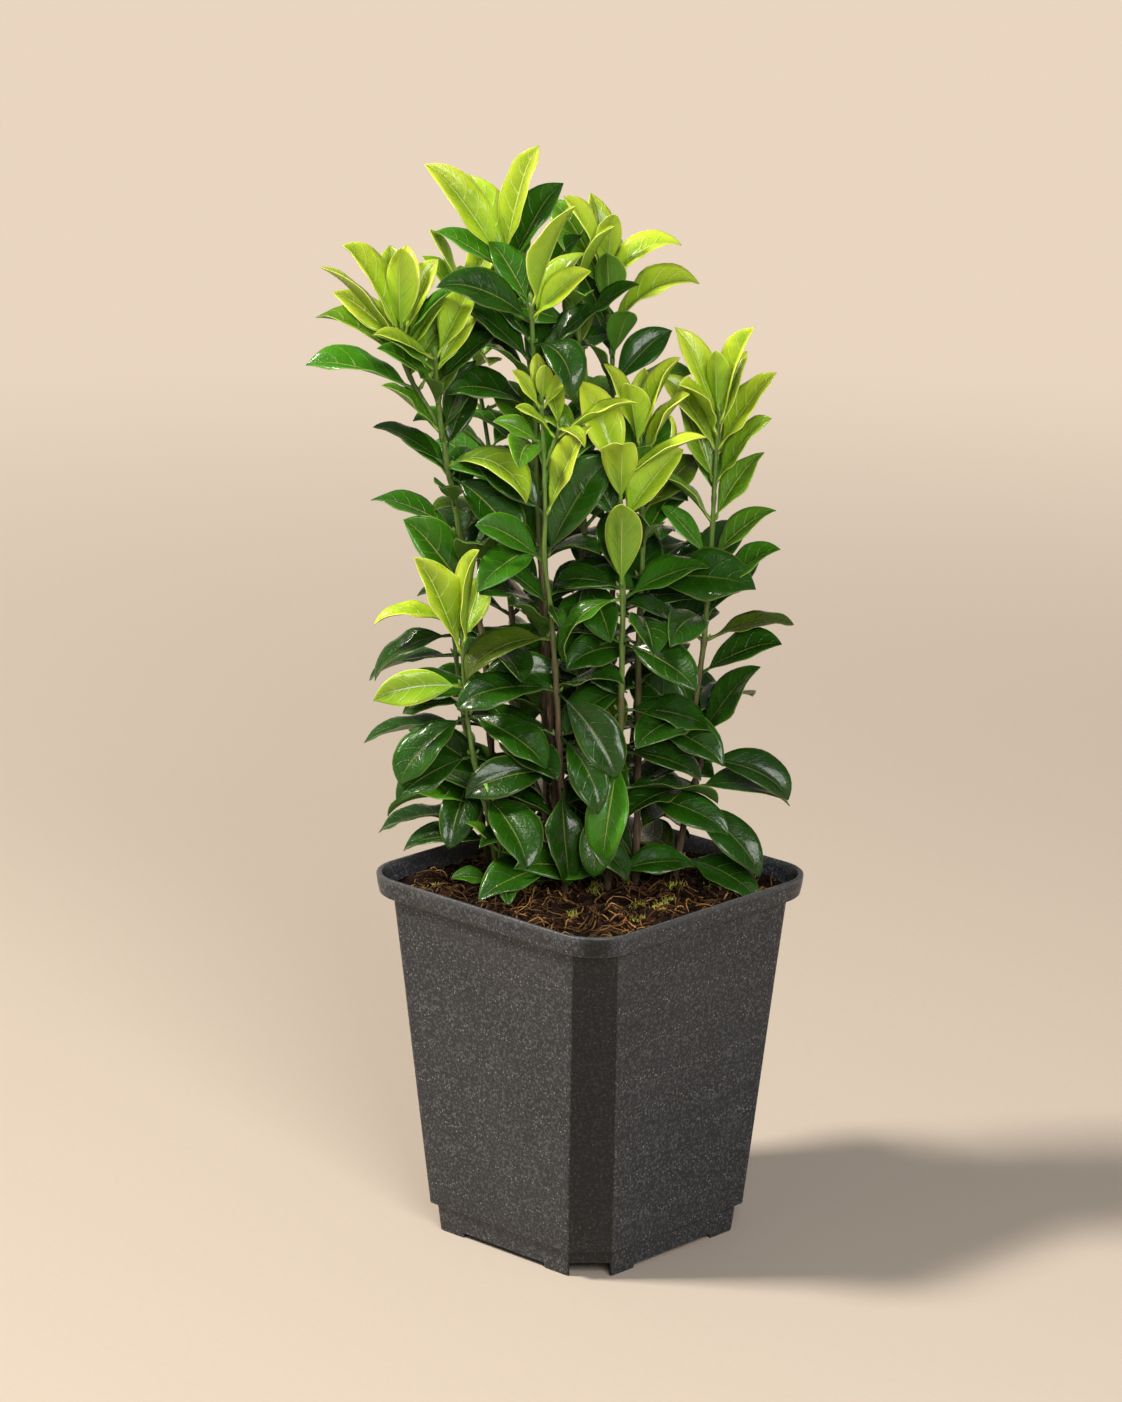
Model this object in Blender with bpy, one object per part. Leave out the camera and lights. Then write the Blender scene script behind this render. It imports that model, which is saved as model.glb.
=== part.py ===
"""Potted Japanese spindle: a square nursery pot, its potting soil and a bushy plant of leafy stems.

Run with: blender --background --python part.py
Units are metres and +Z is up. The origin is on the surface that the pot stands on, under the middle of the
whole object's box. The pot's sides lie along X and Y.
Lengths below are in millimetres and angles in degrees.
The longest leaves are nodes of their own. Each stem is one node with the rest of its leaves.
"""

import math

import bmesh
import bpy
from mathutils import Matrix, Vector
from mathutils.bvhtree import BVHTree

MM = 0.001
GAP = 0.35  # between pieces that touch
SMOOTH_ANGLE = 32.0  # faces that meet at less than this are shaded as one surface

POT_AXIS = (9.3, -2.9)  # the pot's middle. The plant leans past the pot, and the origin is under the whole's middle

# ---- pot ----
RIM_HALF = 55.0  # half of the rim's outer width
POT_HEIGHT = 125.0
RIM_BAND = 7.0  # height of the upright band below the lip
RIM_RADIUS = 15.5
RIM_LEAN = 0.8  # how much the band widens upwards
LIP_EDGE = 0.4  # chamfer of the lip's outer edge
BODY_TOP_HALF = 51.4  # half width of the body just below the rim
BODY_FOOT_HALF = 42.6  # half width of the body where it steps in to the foot
FOOT_HALF = 40.0
FOOT_BAND = 9.6  # height of the stepped-in foot
FOOT_LEAN = 0.9
FOOT_WALL = 2.4
FOOT_STEP = 0.6  # height of the step from the foot to the body
STEP_INSIDE = 11.6  # height of the step on the inside
CORNER_STEPS = 5  # sides of a rounded corner of the rim
FACET_LEG = 10.2  # how much of each side the flat corner facet takes
FACET_INSET = 0.7  # how far the facet lies behind the corner's edges
FACET_ROUND = 1.4  # where a side starts to round into the facet's edge
FACET_EASE = 0.2
WALL = 1.4
RIM_WALL = 2.1  # the band's wall at its foot
FLOOR_Z = 5.0  # underside of the pot's floor
CORNER_GAP = 4.8  # height of the opening under each corner facet
SIDE_GAP = (38.0, 1.8)  # width and height of the opening under each side
DRAIN_RADIUS = 3.6
DRAIN_RING = 22.0
DRAIN_COUNT = 6
DRAIN_SIDES = 10
CUT_DEPTH = 12.0  # long enough to pass through the foot's wall

# ---- soil ----
SOIL_TOP = 120.0  # mean height of the surface
SOIL_RELIEF = 1.0
SOIL_EDGE_DROP = 1.1  # how much lower the surface is at the wall
SOIL_CORNER_DROP = 2.0  # and in the corners at the plant's two sides
SOIL_CORNER_FROM = 0.55  # where the drop to those corners starts
SOIL_EDGE_HALF = 50.9
SOIL_SWELLS = (7.0, 9.0, 4.3, 3.7)  # widths of the surface's swells: along x, along y, slanting and fine
SWELL_SHARES = (1.0, 0.6, 0.5)  # how high they are: the broad, the slanting and the fine ones
SWELL_SHIFT = 1.3
SOIL_RINGS = (1.0, 0.985, 0.8, 0.56, 0.3)

# ---- plant ----
PLANT_TURN = 43.5  # the plant's light side is turned this much from the pot's front side
LEAF_THICK = 0.7
LEAF_FOLD = 0.24  # how far a blade's two halves rise, as a share of the half width
LEAF_WIDTH = 0.43  # width of a blade as a share of its length
PETIOLE = 0.07  # share of a leaf's length that is stalk
PETIOLE_WIDTH = 1.0
STALK_RISE = 64.0  # the steepest that a stalk leaves its stem
STALK_SET_OFF = 0.86  # from the stem's surface to the foot of a leaf that is a piece of its own
LEAF_CLEARANCE = 0.4
OWN_LEAF_SEGMENTS = 5
JOINED_LEAF_SEGMENTS = 3
BLADE_STATIONS = {5: (PETIOLE, 0.32, 0.58, 0.83, 1.0), 3: (0.34, 0.67, 1.0)}
BLADE_WEDGE = 1.1  # how slowly a blade widens from its foot
BLADE_POINT = 0.8  # how early it narrows to its tip
STEM_SIDES = 6
STEM_STEP = 15.0  # between the rings of a stem
STEM_RINGS_IN_SOIL = 4  # a stem's first rings, which reach from inside the soil to above it
MOST_OWN_LEAVES = 44
YOUNG_AGE = 0.55  # up to here a leaf is still light green


def pair(height, turn, first, second=None):
    """Two opposite leaves. Each is (length, rise, bend, face) and an optional age from 0, new, to 1, old."""
    return [(height, turn, first)] + ([(height, turn + 180.0, second)] if second else [])


def run(low, high, count, turn, long=(34.0, 30.0), rise=(20.0, 52.0), bend=38.0, face=20.0):
    """Pairs at even steps up a stem, each a quarter turn from the one below."""
    rows = []
    for i in range(count):
        share = i / max(count - 1, 1)
        length = long[0] + (long[1] - long[0]) * share
        up = rise[0] + (rise[1] - rise[0]) * share
        height = low + (high - low) * share
        leaf = (length, up, bend, face)
        rows += pair(height, turn + 97.0 * i, leaf, (length * 0.94, up - 4.0, bend, face))
    return rows


# Each stem: the points that its axis passes through as (right, away, up) in the plant's own axes, its radius
# low down and at the tip, and its leaves from the bottom up. A side branch is written in the same way.
# A leaf's turn is 0 to the right and 90 away; face turns the blade's upper side to the light.
STEMS = {
    "front_left": dict(
        axis=((-8, -6, 96), (-9, -7, 140), (-11.9, -8, 190), (-14.2, -8, 218), (-16.2, -9, 234),
              (-16.2, -9, 250), (-16.8, -8, 269), (-17.8, -7, 286)),
        radius=(1.6, 0.8),
        branch=((-16.8, -8, 264), (-14, -8.5, 272), (-11.5, -9, 279)), branch_radius=(0.9, 0.7),
        leaves=pair(130, 215, (32, -15, 25, 20), (32, 10, 25, 10))
        + pair(144, -62, (28, -20, 30, 20), (32, 14, 25, 0)) + pair(157, -86, (33, -60, 20, 30))
        + pair(162, 189, (32, 2, 25, 50), (30, 10, 20, 30))
        + pair(174, 136, (33, 20, 30, 0), (30, -10, 40, 34))
        + pair(189, -28, (34, -34, 20, 52)) + pair(189.5, 186, (34, 16, 40, 30))
        + pair(198, 60, (33, 30, 35, 10))
        + pair(207, 187, (32, 6, 60, 25))
        + pair(218, 100, (32, 35, 30, 10), (13, 8, 40, 0))
        + pair(233, 195, (27, 46, 18, 45)) + pair(234.5, 14, (39, 60, 14, 45, 1.0))
        + pair(249, -24, (33, 68, 8, 55, 0.15), (29, 46, 28, 40, 0.9))
        + pair(259, 75, (27, 55, 25, 10))
        + pair(272, 190, (17, 40, 25, 45, 0.5))
        + pair(284, 192, (15, 58, 5, 50, 0.0), (15, 58, 5, 50, 0.0))
        + pair(286, 100, (15, 70, 5, 0, 0.0), (14, 72, 5, 0, 0.0)),
        branch_leaves=pair(275, -4, (28, 34, 12, 6, 0.1), (17, 48, 15, 20, 0.3))
        + pair(278, -60, (16, 12, 40, 10, 0.1), (19, 50, 15, 10, 0.2)),
    ),
    "front_right": dict(
        axis=((5, -5, 96), (6, -6, 125), (9, -8, 166), (9.5, -8, 207), (9.5, -8, 221), (8.2, -9, 241),
              (8.2, -9, 255), (8.6, -9.5, 264)),
        radius=(1.8, 0.9),
        leaves=pair(125.5, 199, (32, 8, 26, 50, 0.75), (28, 20, 25, 30))
        + pair(156, -138, (34, -58, 20, 24, 0.9), (34, 5, 25, 0))
        + pair(168.5, -104, (36, -52, 36, 0, 0.65), (31, 15, 25, 0))
        + pair(169, 8, (28, -6, 30, 35))
        + pair(183, 199, (30, -8, 40, 30), (31, 2, 30, 30))
        + pair(206, 140, (31, 15, 30, 10), (31, -4, 30, 34))
        + pair(221, 190, (30, 0, 85, 15, 0.6), (29, 34, 25, 30, 0.8))
        + pair(224.5, 156, (23, 14, 38, 32, 0.9))
        + pair(225, -96, (34, 74, 12, 0, 0.35), (30, 45, 20, 0))
        + pair(246, 6, (31, 72, 5, 45, 0.3), (26, 56, 15, 35, 0.9))
        + pair(253, -86, (29, 75, 36, 0, 0.05), (27, 60, 10, 0))
        + pair(262, -10, (30, 36, 10, 12, 0.1), (33, 64, 12, 32, 0.1)),
    ),
    "right": dict(
        axis=((26, 6, 96), (29, 6, 125), (32.5, 6, 148), (36.3, 5.5, 163), (33.9, 5, 176), (34.6, 5, 186),
              (36.6, 5, 203), (37.3, 5, 217), (38.5, 5, 238), (39, 5, 252), (39.6, 5, 270), (40.4, 5, 281)),
        radius=(1.6, 0.8),
        leaves=pair(128, 150, (32, 12, 25, 20), (32, 0, 30, 20))
        + pair(147.5, -38, (34, -16, 45, 25), (32, 8, 30, 10))
        + pair(152.5, 15, (34, 10, 45, 28), (32, 10, 35, 20))
        + pair(162, -5, (32, 2, 45, 28), (32, -14, 40, 38))
        + pair(169, -20, (34, 62, 12, 52), (32, 52, 20, 42))
        + pair(178, 55, (30, 16, 30, 0), (32, 16, 30, 20))
        + pair(192, -13, (29, 38, 22, 38, 0.85), (29, 24, 50, 22))
        + pair(203.5, 5, (29, 26, 24, 4), (29, 42, 25, 22))
        + pair(211, 62, (32, 34, 30, 0), (30, 20, 40, 20))
        + pair(217, -25, (31, 48, 15, 48, 0.6), (31, 10, 45, 32))
        + pair(224, 70, (28, 44, 25, 10))
        + pair(231, -10, (27, 52, 18, 42, 0.5), (22, 54, 20, 24, 0.6))
        + pair(244, 25, (27, 62, 12, 30, 0.45), (27, 54, 25, 24, 0.5))
        + pair(252, 100, (28, 56, 25, 0, 0.5))
        + pair(257, -32, (29, 58, 18, 52, 0.4), (28, 68, 15, 30, 0.4))
        + pair(263, 70, (29, 64, 15, 10, 0.3))
        + pair(268, -12, (31, 67, 12, 36, 0.2), (31, 62, 18, 26, 0.25))
        + pair(273, 48, (28, 72, 10, 0, 0.15), (30, 68, 24, 30, 0.15))
        + pair(277, -15, (36, 77, 6, 60, 0.0), (33, 71, 12, 26, 0.15))
        + pair(280.5, 60, (22, 78, 4, 0, 0.0), (22, 78, 4, 0, 0.0)),
    ),
    "low_left": dict(
        axis=((-27, -2, 96), (-33, -4, 140), (-39, -5, 165), (-42, -6, 188), (-43, -7, 207)),
        radius=(1.6, 0.8),
        leaves=pair(136, 160, (31, 5, 30, 20), (31, -10, 30, 20))
        + pair(152, -58, (34, -8, 40, 20), (31, 15, 25, 10))
        + pair(166, 200, (28, -12, 35, 30), (34, -2, 30, 30))
        + pair(180, 196, (31, -28, 30, 32), (34, -12, 25, 34))
        + pair(184, 158, (22, 0, 22, 24))
        + pair(190, 189, (30, 7, 15, 62, 0.35), (31, 29, 10, 48, 0.95))
        + pair(201, 194, (37, 70, 0, 52, 0.1)) + pair(204, -62, (37, 80, 5, 66, 0.0))
        + pair(205, 60, (24, 60, 10, 20, 0.3)),
    ),
    "left": dict(
        axis=((-28, 8, 96), (-33, 8, 160), (-36.3, 8, 203), (-40, 8, 217), (-44, 8, 237), (-46.5, 7, 252),
              (-48.5, 6, 262), (-50, 6, 271), (-54, 5, 280), (-59.5, 5, 289), (-63, 4.5, 298), (-63.4, 4, 307)),
        radius=(1.7, 0.9),
        branch=((-50, 6, 270), (-51, 3, 280), (-52, 0.5, 291), (-52.5, -1, 300)), branch_radius=(1.2, 0.8),
        leaves=pair(141, 181, (38, 36, 72, 12, 0.6), (33, 8, 30, 20))
        + pair(154, 194, (32, 20, 15, 58, 0.95)) + pair(156.5, -63, (28, 50, 55, 0, 0.5))
        + pair(169, 128, (34, 18, 30, 0), (33, 4, 30, 20))
        + pair(186, 30, (33, 26, 25, 20), (31, 14, 25, 20))
        + pair(201, 118, (34, 30, 30, 0), (30, 20, 30, 0))
        + pair(216, 194, (34, 62, 12, 52, 0.6), (33, 54, 15, 32, 0.9))
        + pair(226, 100, (33, 44, 30, 0, 0.9), (28, 40, 30, 0, 0.9))
        + pair(238, 171, (30, 34, 24, 14, 0.75), (25, 52, 15, 32, 0.95))
        + pair(248, 80, (24, 50, 25, 10, 0.9), (22, 44, 30, 10, 0.9))
        + pair(258, -35, (32, -10, 45, 38, 0.9), (22, 44, 20, 10))
        + pair(261.5, 172, (26, 40, 25, 18, 0.9), (38, 32, 85, 22, 0.35))
        + pair(266, 60, (25, 58, 15, 22, 0.95))
        + pair(287, 182, (36, 40, 30, 10, 0.6), (24, 58, 10, 32, 0.4))
        + pair(291.5, 95, (28, 58, 15, 0, 0.5)) + pair(292.5, 18, (24, 58, 15, 34, 0.4))
        + pair(296, 178, (32, 46, 34, 24, 0.45), (24, 66, 10, 30, 0.4))
        + pair(299, 75, (29, 68, 10, 10, 0.5)) + pair(300, 174, (38, 70, 14, 4, 0.1))
        + pair(302, 152, (28, 75, 8, 40, 0.1), (27, 74, 8, 24, 0.6))
        + pair(303, 110, (31, 72, 6, 10, 0.3))
        + pair(305, 205, (35, 62, 8, 54, 0.1), (26, 78, 4, 20, 0.2))
        + pair(306.5, -105, (31, 76, 6, 0, 0.1), (27, 78, 6, 0, 0.2)),
        branch_leaves=pair(273, 200, (26, 68, 8, 20, 0.5), (24, 68, 8, 32, 0.9))
        + pair(283, 70, (24, 54, 15, 0, 0.7), (22, 50, 25, 24, 0.9))
        + pair(290, 10, (24, 56, 12, 30, 0.9), (22, 62, 10, 30, 0.6))
        + pair(295, 26, (24, 58, 14, 40, 0.25), (22, 66, 10, 30, 0.5))
        + pair(299, 5, (29, 64, 10, 42, 0.3), (22, 72, 6, 30, 0.3)),
    ),
    "far_left": dict(
        axis=((-29, 17, 96), (-37, 17, 140), (-43, 16, 175), (-46, 14, 201), (-47, 13, 212)),
        radius=(1.6, 0.8),
        leaves=pair(138, 170, (34, 5, 30, 10), (31, 10, 30, 10))
        + pair(155, 112, (34, 15, 30, 0), (31, 0, 40, 10))
        + pair(171, 172, (34, -4, 20, 2), (31, 20, 25, 20))
        + pair(186, 60, (34, 20, 30, 0), (29, 6, 30, 10))
        + pair(195, 164, (32, -8, 20, 2, 0.9), (31, 25, 25, 20))
        + pair(202, 176, (31, -6, 50, 26, 0.95), (27, 40, 20, 20))
        + pair(206, 184, (26, 26, 55, 18, 0.1), (22, 50, 15, 20, 0.3))
        + pair(210, 95, (24, 60, 10, 0, 0.2), (20, 66, 10, 0, 0.2)),
    ),
    "middle": dict(
        axis=((-10, 4, 96), (-12, 4, 150), (-16, 3, 210), (-19, 1, 255), (-20, 0, 290), (-21.5, -1, 318)),
        radius=(1.7, 0.9),
        leaves=run(132, 270, 9, 40)
        + pair(281, 183, (31, 48, 50, 20, 0.95), (29, 46, 30, 20, 0.9))
        + pair(290, 90, (28, 52, 20, 10, 0.9), (24, 52, 25, 0, 0.9))
        + pair(297, 178, (29, 56, 18, 16, 0.95), (27, 52, 20, 20, 0.9))
        + pair(304, -48, (28, 14, 95, 20, 0.95), (26, 52, 20, 0, 0.9))
        + pair(311, 193, (35, 46, 40, 48, 0.9), (27, 62, 15, 40, 0.3))
        + pair(312.5, -18, (25, 50, 12, 60, 0.2)) + pair(314, 130, (26, 58, 20, 20, 0.5))
        + pair(316.5, -42, (38, 70, 8, 12, 0.1), (25, 54, 12, 26, 0.7)),
    ),
    "tall": dict(
        axis=((-14, 14, 96), (-15, 16, 150), (-17, 16, 215), (-19, 15, 272), (-22.5, 14, 298), (-23.5, 13.5, 312),
              (-27.5, 13, 322), (-32, 13, 330)),
        radius=(1.8, 0.9),
        leaves=run(140, 280, 9, 15)
        + pair(291, 5, (30, 52, 25, 20, 0.95), (29, 46, 30, 20, 0.95))
        + pair(302, 95, (29, 56, 20, 0, 0.9), (24, 56, 20, 0, 0.9))
        + pair(312, 5, (29, 62, 15, 24, 0.85), (25, 54, 25, 24, 0.9))
        + pair(320, 100, (27, 66, 12, 0, 0.7)) + pair(324, -82, (30, 77, 6, 0, 0.85))
        + pair(325, -12, (33, 67, 8, 24, 0.75), (25, 68, 10, 20, 0.6))
        + pair(325.5, -72, (37, 80, 6, 12, 0.2)) + pair(326, 135, (33, 62, 8, 16, 0.3))
        + pair(329, 15, (38, 79, 4, 18, 0.0), (39, 60, 10, 50, 0.15)),
    ),
    "back_middle": dict(
        axis=((-4, 17, 96), (-4, 15, 200), (-3, 12, 270), (-4, 11, 296), (-7, 10, 309), (-8.5, 10, 321)),
        radius=(1.6, 0.8),
        leaves=run(148, 276, 8, 60)
        + pair(288, 10, (25, 54, 20, 30, 0.9), (24, 44, 20, 24, 0.9))
        + pair(299, 100, (26, 56, 15, 0, 0.8), (22, 56, 20, 0, 0.8))
        + pair(308, 190, (27, 66, 8, 40, 0.7), (26, 64, 10, 30, 0.8))
        + pair(314, 100, (27, 68, 8, 0, 0.5), (22, 70, 8, 0, 0.5))
        + pair(319, 10, (29, 74, 6, 30, 0.3), (27, 72, 6, 30, 0.3)),
    ),
    "back_right": dict(
        axis=((7, 19, 96), (6.5, 19, 200), (5.5, 18, 280), (5, 17, 300), (3.2, 16, 314), (2.2, 16, 323)),
        radius=(1.6, 0.8),
        leaves=run(142, 276, 8, 20)
        + pair(286, 25, (26, 50, 20, 30, 0.9), (25, 50, 20, 30, 0.8))
        + pair(296, 115, (26, 56, 15, 0, 0.8), (22, 60, 15, 0, 0.7))
        + pair(304, -4, (34, 64, 66, 30, 0.25), (34, 64, 12, 30, 0.85))
        + pair(311, 90, (28, 66, 12, 0, 0.4), (24, 70, 10, 0, 0.5))
        + pair(317, 4, (31, 74, 76, 30, 0.1), (36, 70, 14, 30, 0.5))
        + pair(321.5, 110, (28, 76, 8, 0, 0.1), (24, 78, 6, 0, 0.1))
        + pair(322.5, 195, (30, 72, 10, 30, 0.1)),
    ),
    "inner_right": dict(
        axis=((15, 5, 96), (15.5, 5, 150), (15, 4, 203), (15.8, 4, 226), (15.5, 3, 250), (13.8, 2, 274)),
        radius=(1.7, 0.9),
        leaves=pair(123, -24, (38, 26, 20, 50, 0.6), (32, 12, 25, 20))
        + pair(137, 60, (33, 14, 30, 0))
        + pair(150, 160, (33, 8, 30, 20), (32, 4, 30, 30))
        + pair(163, -9, (38, 55, 32, 24, 0.8)) + pair(163.5, 95, (33, 24, 30, 0))
        + pair(176, 175, (33, 14, 30, 30), (32, 10, 30, 30))
        + pair(188, 60, (33, 30, 30, 0), (30, 4, 40, 20))
        + pair(200, 195, (33, -14, 50, 46, 0.95), (31, 34, 30, 32, 0.95))
        + pair(212, 118, (33, 36, 30, 0), (30, 26, 40, 10))
        + pair(225, -12, (39, 47, 14, 56, 1.0), (29, 36, 30, 42, 0.95))
        + pair(236, 60, (29, 48, 25, 0), (26, 44, 30, 0))
        + pair(247, 165, (27, 54, 20, 30, 0.8), (27, 52, 20, 30, 0.8))
        + pair(256, 70, (26, 60, 15, 10, 0.6), (24, 60, 20, 0, 0.5))
        + pair(264, -22, (31, 56, 14, 50, 0.1), (27, 62, 15, 30, 0.5))
        + pair(269.5, 70, (25, 72, 8, 0, 0.2), (24, 74, 8, 0, 0.2))
        + pair(273, -18, (30, 70, 6, 46, 0.1), (25, 70, 8, 26, 0.1)),
    ),
    "rear_left": dict(
        axis=((-17, 27, 96), (-21, 29, 150), (-29, 29, 220), (-37, 25, 275), (-43.5, 22, 313)),
        radius=(1.5, 0.8),
        leaves=run(134, 290, 12, 80)
        + pair(299, 100, (27, 62, 15, 0, 0.5), (24, 60, 15, 0, 0.5))
        + pair(306, 10, (29, 66, 20, 30, 0.3), (25, 64, 15, 30, 0.4))
        + pair(312, 30, (33, 70, 30, 40, 0.05), (26, 70, 10, 20, 0.3)),
    ),
    "rear_right": dict(
        axis=((10, 30, 96), (13, 32, 150), (18, 36, 210), (21, 38, 248)),
        radius=(1.5, 0.8),
        leaves=run(136, 232, 7, 50) + pair(240, 170, (27, 56, 10, 10, 0.2), (26, 56, 10, 10, 0.2))
        + pair(246, 80, (25, 68, 5, 0, 0.05), (24, 68, 5, 0, 0.05)),
    ),
    "sprout": dict(
        axis=((-29, -7, 96), (-30, -8, 118), (-30, -9, 136)),
        radius=(1.2, 0.7),
        leaves=pair(123, 200, (15, 20, 20, 30, 0.7), (15, 10, 30, 20, 0.7))
        + pair(129, -75, (17, -20, 30, 0, 0.6), (15, 35, 20, 0, 0.6))
        + pair(134, 195, (15, 52, 12, 30, 0.5), (17, 50, 12, 30, 0.5)),
    ),
}
# Leaves are set in this order, and a leaf that would touch one already there turns aside, as growing leaves do.
GROWING_ORDER = ("front_left", "front_right", "right", "low_left", "left", "middle", "tall", "inner_right",
                 "far_left", "back_right", "back_middle", "sprout", "rear_left", "rear_right")
SIDESTEPS = sorted(
    ((turn, rise) for turn in range(-49, 50, 7) for rise in range(-42, 43, 7)),
    key=lambda step: (abs(step[0]) + abs(step[1]), step),
)
SHRINK = (1.0, 0.85, 0.7)
LIGHT_SIDE = Vector((0.3, -1.0, 0.0)).normalized()
UP = Vector((0.0, 0.0, 1.0))


# ---- plain geometry ----
def mesh_object(name, points, faces, material):
    """An object from points in millimetres, with its faces turned outwards."""
    bm = bmesh.new()
    for point in points:
        bm.verts.new(Vector(point) * MM)
    bm.verts.ensure_lookup_table()
    for face in faces:
        bm.faces.new([bm.verts[i] for i in face])
    bmesh.ops.recalc_face_normals(bm, faces=bm.faces)
    mesh = bpy.data.meshes.new(name)
    bm.to_mesh(mesh)
    bm.free()
    mesh.materials.append(material)
    mesh.shade_smooth()
    mesh.set_sharp_from_angle(angle=math.radians(SMOOTH_ANGLE))
    made = bpy.data.objects.new(name, mesh)
    bpy.context.scene.collection.objects.link(made)
    return made


def loft(rings):
    """(points, faces) of a closed skin through rings of one size. A ring of one point closes an end."""
    points = []
    faces = []
    starts = []
    for ring in rings:
        starts.append(len(points))
        points += ring
    for low, high, start, end in zip(rings, rings[1:], starts, starts[1:]):
        sides = max(len(low), len(high))
        for i in range(sides):
            j = (i + 1) % sides
            if len(low) == 1:
                faces.append((start, end + j, end + i))
            elif len(high) == 1:
                faces.append((start + i, start + j, end))
            else:
                faces.append((start + i, start + j, end + j, end + i))
    if len(rings[0]) > 1:
        faces.append(tuple(reversed(range(len(rings[0])))))
    if len(rings[-1]) > 1:
        faces.append(tuple(starts[-1] + i for i in range(len(rings[-1]))))
    return points, faces


def smooth_path(points, spacing):
    """Points at about this spacing on a smooth curve through the given ones."""
    ends = [points[0]] + list(points) + [points[-1]]
    path = []
    for before, start, end, after in zip(ends, ends[1:], ends[2:], ends[3:]):
        steps = max(1, round((end - start).length / spacing))
        for i in range(steps):
            t = i / steps
            path.append(0.5 * (2 * start + (end - before) * t
                               + (2 * before - 5 * start + 4 * end - after) * t ** 2
                               + (3 * start - before - 3 * end + after) * t ** 3))
    return path + [points[-1]]


def in_world(point):
    """A point of the plant's own axes, turned to the pot's."""
    turn = math.radians(PLANT_TURN)
    right, away, up = point
    return Vector((
        right * math.cos(turn) - away * math.sin(turn), right * math.sin(turn) + away * math.cos(turn), up
    ))


# ---- pot ----
def faceted_corner(half):
    """One corner of the body, cut off by a flat facet that lies a little behind the corner's two edges."""
    near = half - FACET_LEG
    behind = half - FACET_INSET * math.sqrt(2) - FACET_EASE
    side = [(half, near - FACET_ROUND), (half - FACET_EASE, near - FACET_EASE), (behind, near + 2 * FACET_EASE)]
    return side + [(y, x) for x, y in reversed(side)]


def round_corner(half, radius):
    steps = [math.radians(90.0 * i / CORNER_STEPS) for i in range(CORNER_STEPS + 1)]
    return [(half - radius + radius * math.cos(a), half - radius + radius * math.sin(a)) for a in steps]


def square_ring(corner, height):
    """A ring of four equal corners at one height."""
    ring = []
    for quarter in range(4):
        turn = Matrix.Rotation(math.radians(90.0 * quarter), 3, "Z")
        ring += [turn @ Vector((x, y, height)) for x, y in corner]
    return ring


def body_half(height):
    """Half width of the tapered body's outside."""
    share = (height - FOOT_BAND) / (POT_HEIGHT - RIM_BAND - FOOT_BAND)
    return BODY_FOOT_HALF + (BODY_TOP_HALF - BODY_FOOT_HALF) * share


def pot_rings():
    """From the floor's underside out around the foot, up to the lip and down the inside."""
    band = POT_HEIGHT - RIM_BAND
    return [
        square_ring(faceted_corner(FOOT_HALF - FOOT_WALL), FLOOR_Z),
        square_ring(faceted_corner(FOOT_HALF - FOOT_WALL), 0.0),
        square_ring(faceted_corner(FOOT_HALF), 0.0),
        square_ring(faceted_corner(FOOT_HALF + FOOT_LEAN), FOOT_BAND),
        square_ring(faceted_corner(BODY_FOOT_HALF), FOOT_BAND + FOOT_STEP),
        square_ring(faceted_corner(BODY_TOP_HALF), band - RIM_LEAN),
        square_ring(round_corner(RIM_HALF - RIM_LEAN, RIM_RADIUS), band),
        square_ring(round_corner(RIM_HALF, RIM_RADIUS), POT_HEIGHT - LIP_EDGE),
        square_ring(round_corner(RIM_HALF - LIP_EDGE, RIM_RADIUS), POT_HEIGHT),
        square_ring(round_corner(RIM_HALF - WALL, RIM_RADIUS), POT_HEIGHT),
        square_ring(round_corner(RIM_HALF - RIM_WALL, RIM_RADIUS), band + FOOT_STEP),
        square_ring(faceted_corner(BODY_TOP_HALF - WALL), neck_height()),
        square_ring(faceted_corner(body_half(STEP_INSIDE) - WALL), STEP_INSIDE),
        square_ring(faceted_corner(FOOT_HALF + LIP_EDGE - WALL), FLOOR_Z + WALL),
    ]


def neck_height():
    """Where the body's inside ends and the rim's wider inside begins."""
    return POT_HEIGHT - RIM_BAND - 2 * RIM_LEAN


def cutter(name, bm):
    """An object that only cuts: it is in no render."""
    mesh = bpy.data.meshes.new(name)
    bm.to_mesh(mesh)
    bm.free()
    made = bpy.data.objects.new(name, mesh)
    made.hide_render = True
    made.display_type = "WIRE"
    bpy.context.scene.collection.objects.link(made)
    return made


def pot_openings():
    """The gaps under the four sides and the four corner facets, and the drain holes in the floor."""
    bm = bmesh.new()
    facet = (FACET_LEG - FOOT_STEP) * math.sqrt(2)
    corner = (2 * FOOT_HALF - FACET_LEG) / math.sqrt(2)
    gaps = ((0.0, FOOT_HALF, *SIDE_GAP), (45.0, corner, facet, CORNER_GAP))
    for quarter in range(4):
        for turn, out, width, height in gaps:
            spin = Matrix.Rotation(math.radians(90.0 * quarter + turn), 4, "Z")
            place = Matrix.Translation((out * MM, 0.0, 0.0))
            size = Matrix.Diagonal((CUT_DEPTH * MM, width * MM, 2 * height * MM, 1.0))
            bmesh.ops.create_cube(bm, size=1.0, matrix=spin @ place @ size)
    for i in range(DRAIN_COUNT):
        spin = Matrix.Rotation(math.tau * i / DRAIN_COUNT, 4, "Z")
        place = Matrix.Translation(Vector((DRAIN_RING, 0.0, FLOOR_Z)) * MM)
        bmesh.ops.create_cone(bm, cap_ends=True, segments=DRAIN_SIDES, radius1=DRAIN_RADIUS * MM,
                              radius2=DRAIN_RADIUS * MM, depth=3 * WALL * MM, matrix=spin @ place)
    return cutter("pot_openings", bm)


def make_pot(material):
    pot = mesh_object("pot", *loft(pot_rings()), material)
    cut = pot.modifiers.new("openings", "BOOLEAN")
    cut.operation = "DIFFERENCE"
    cut.object = pot_openings()
    return pot


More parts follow.
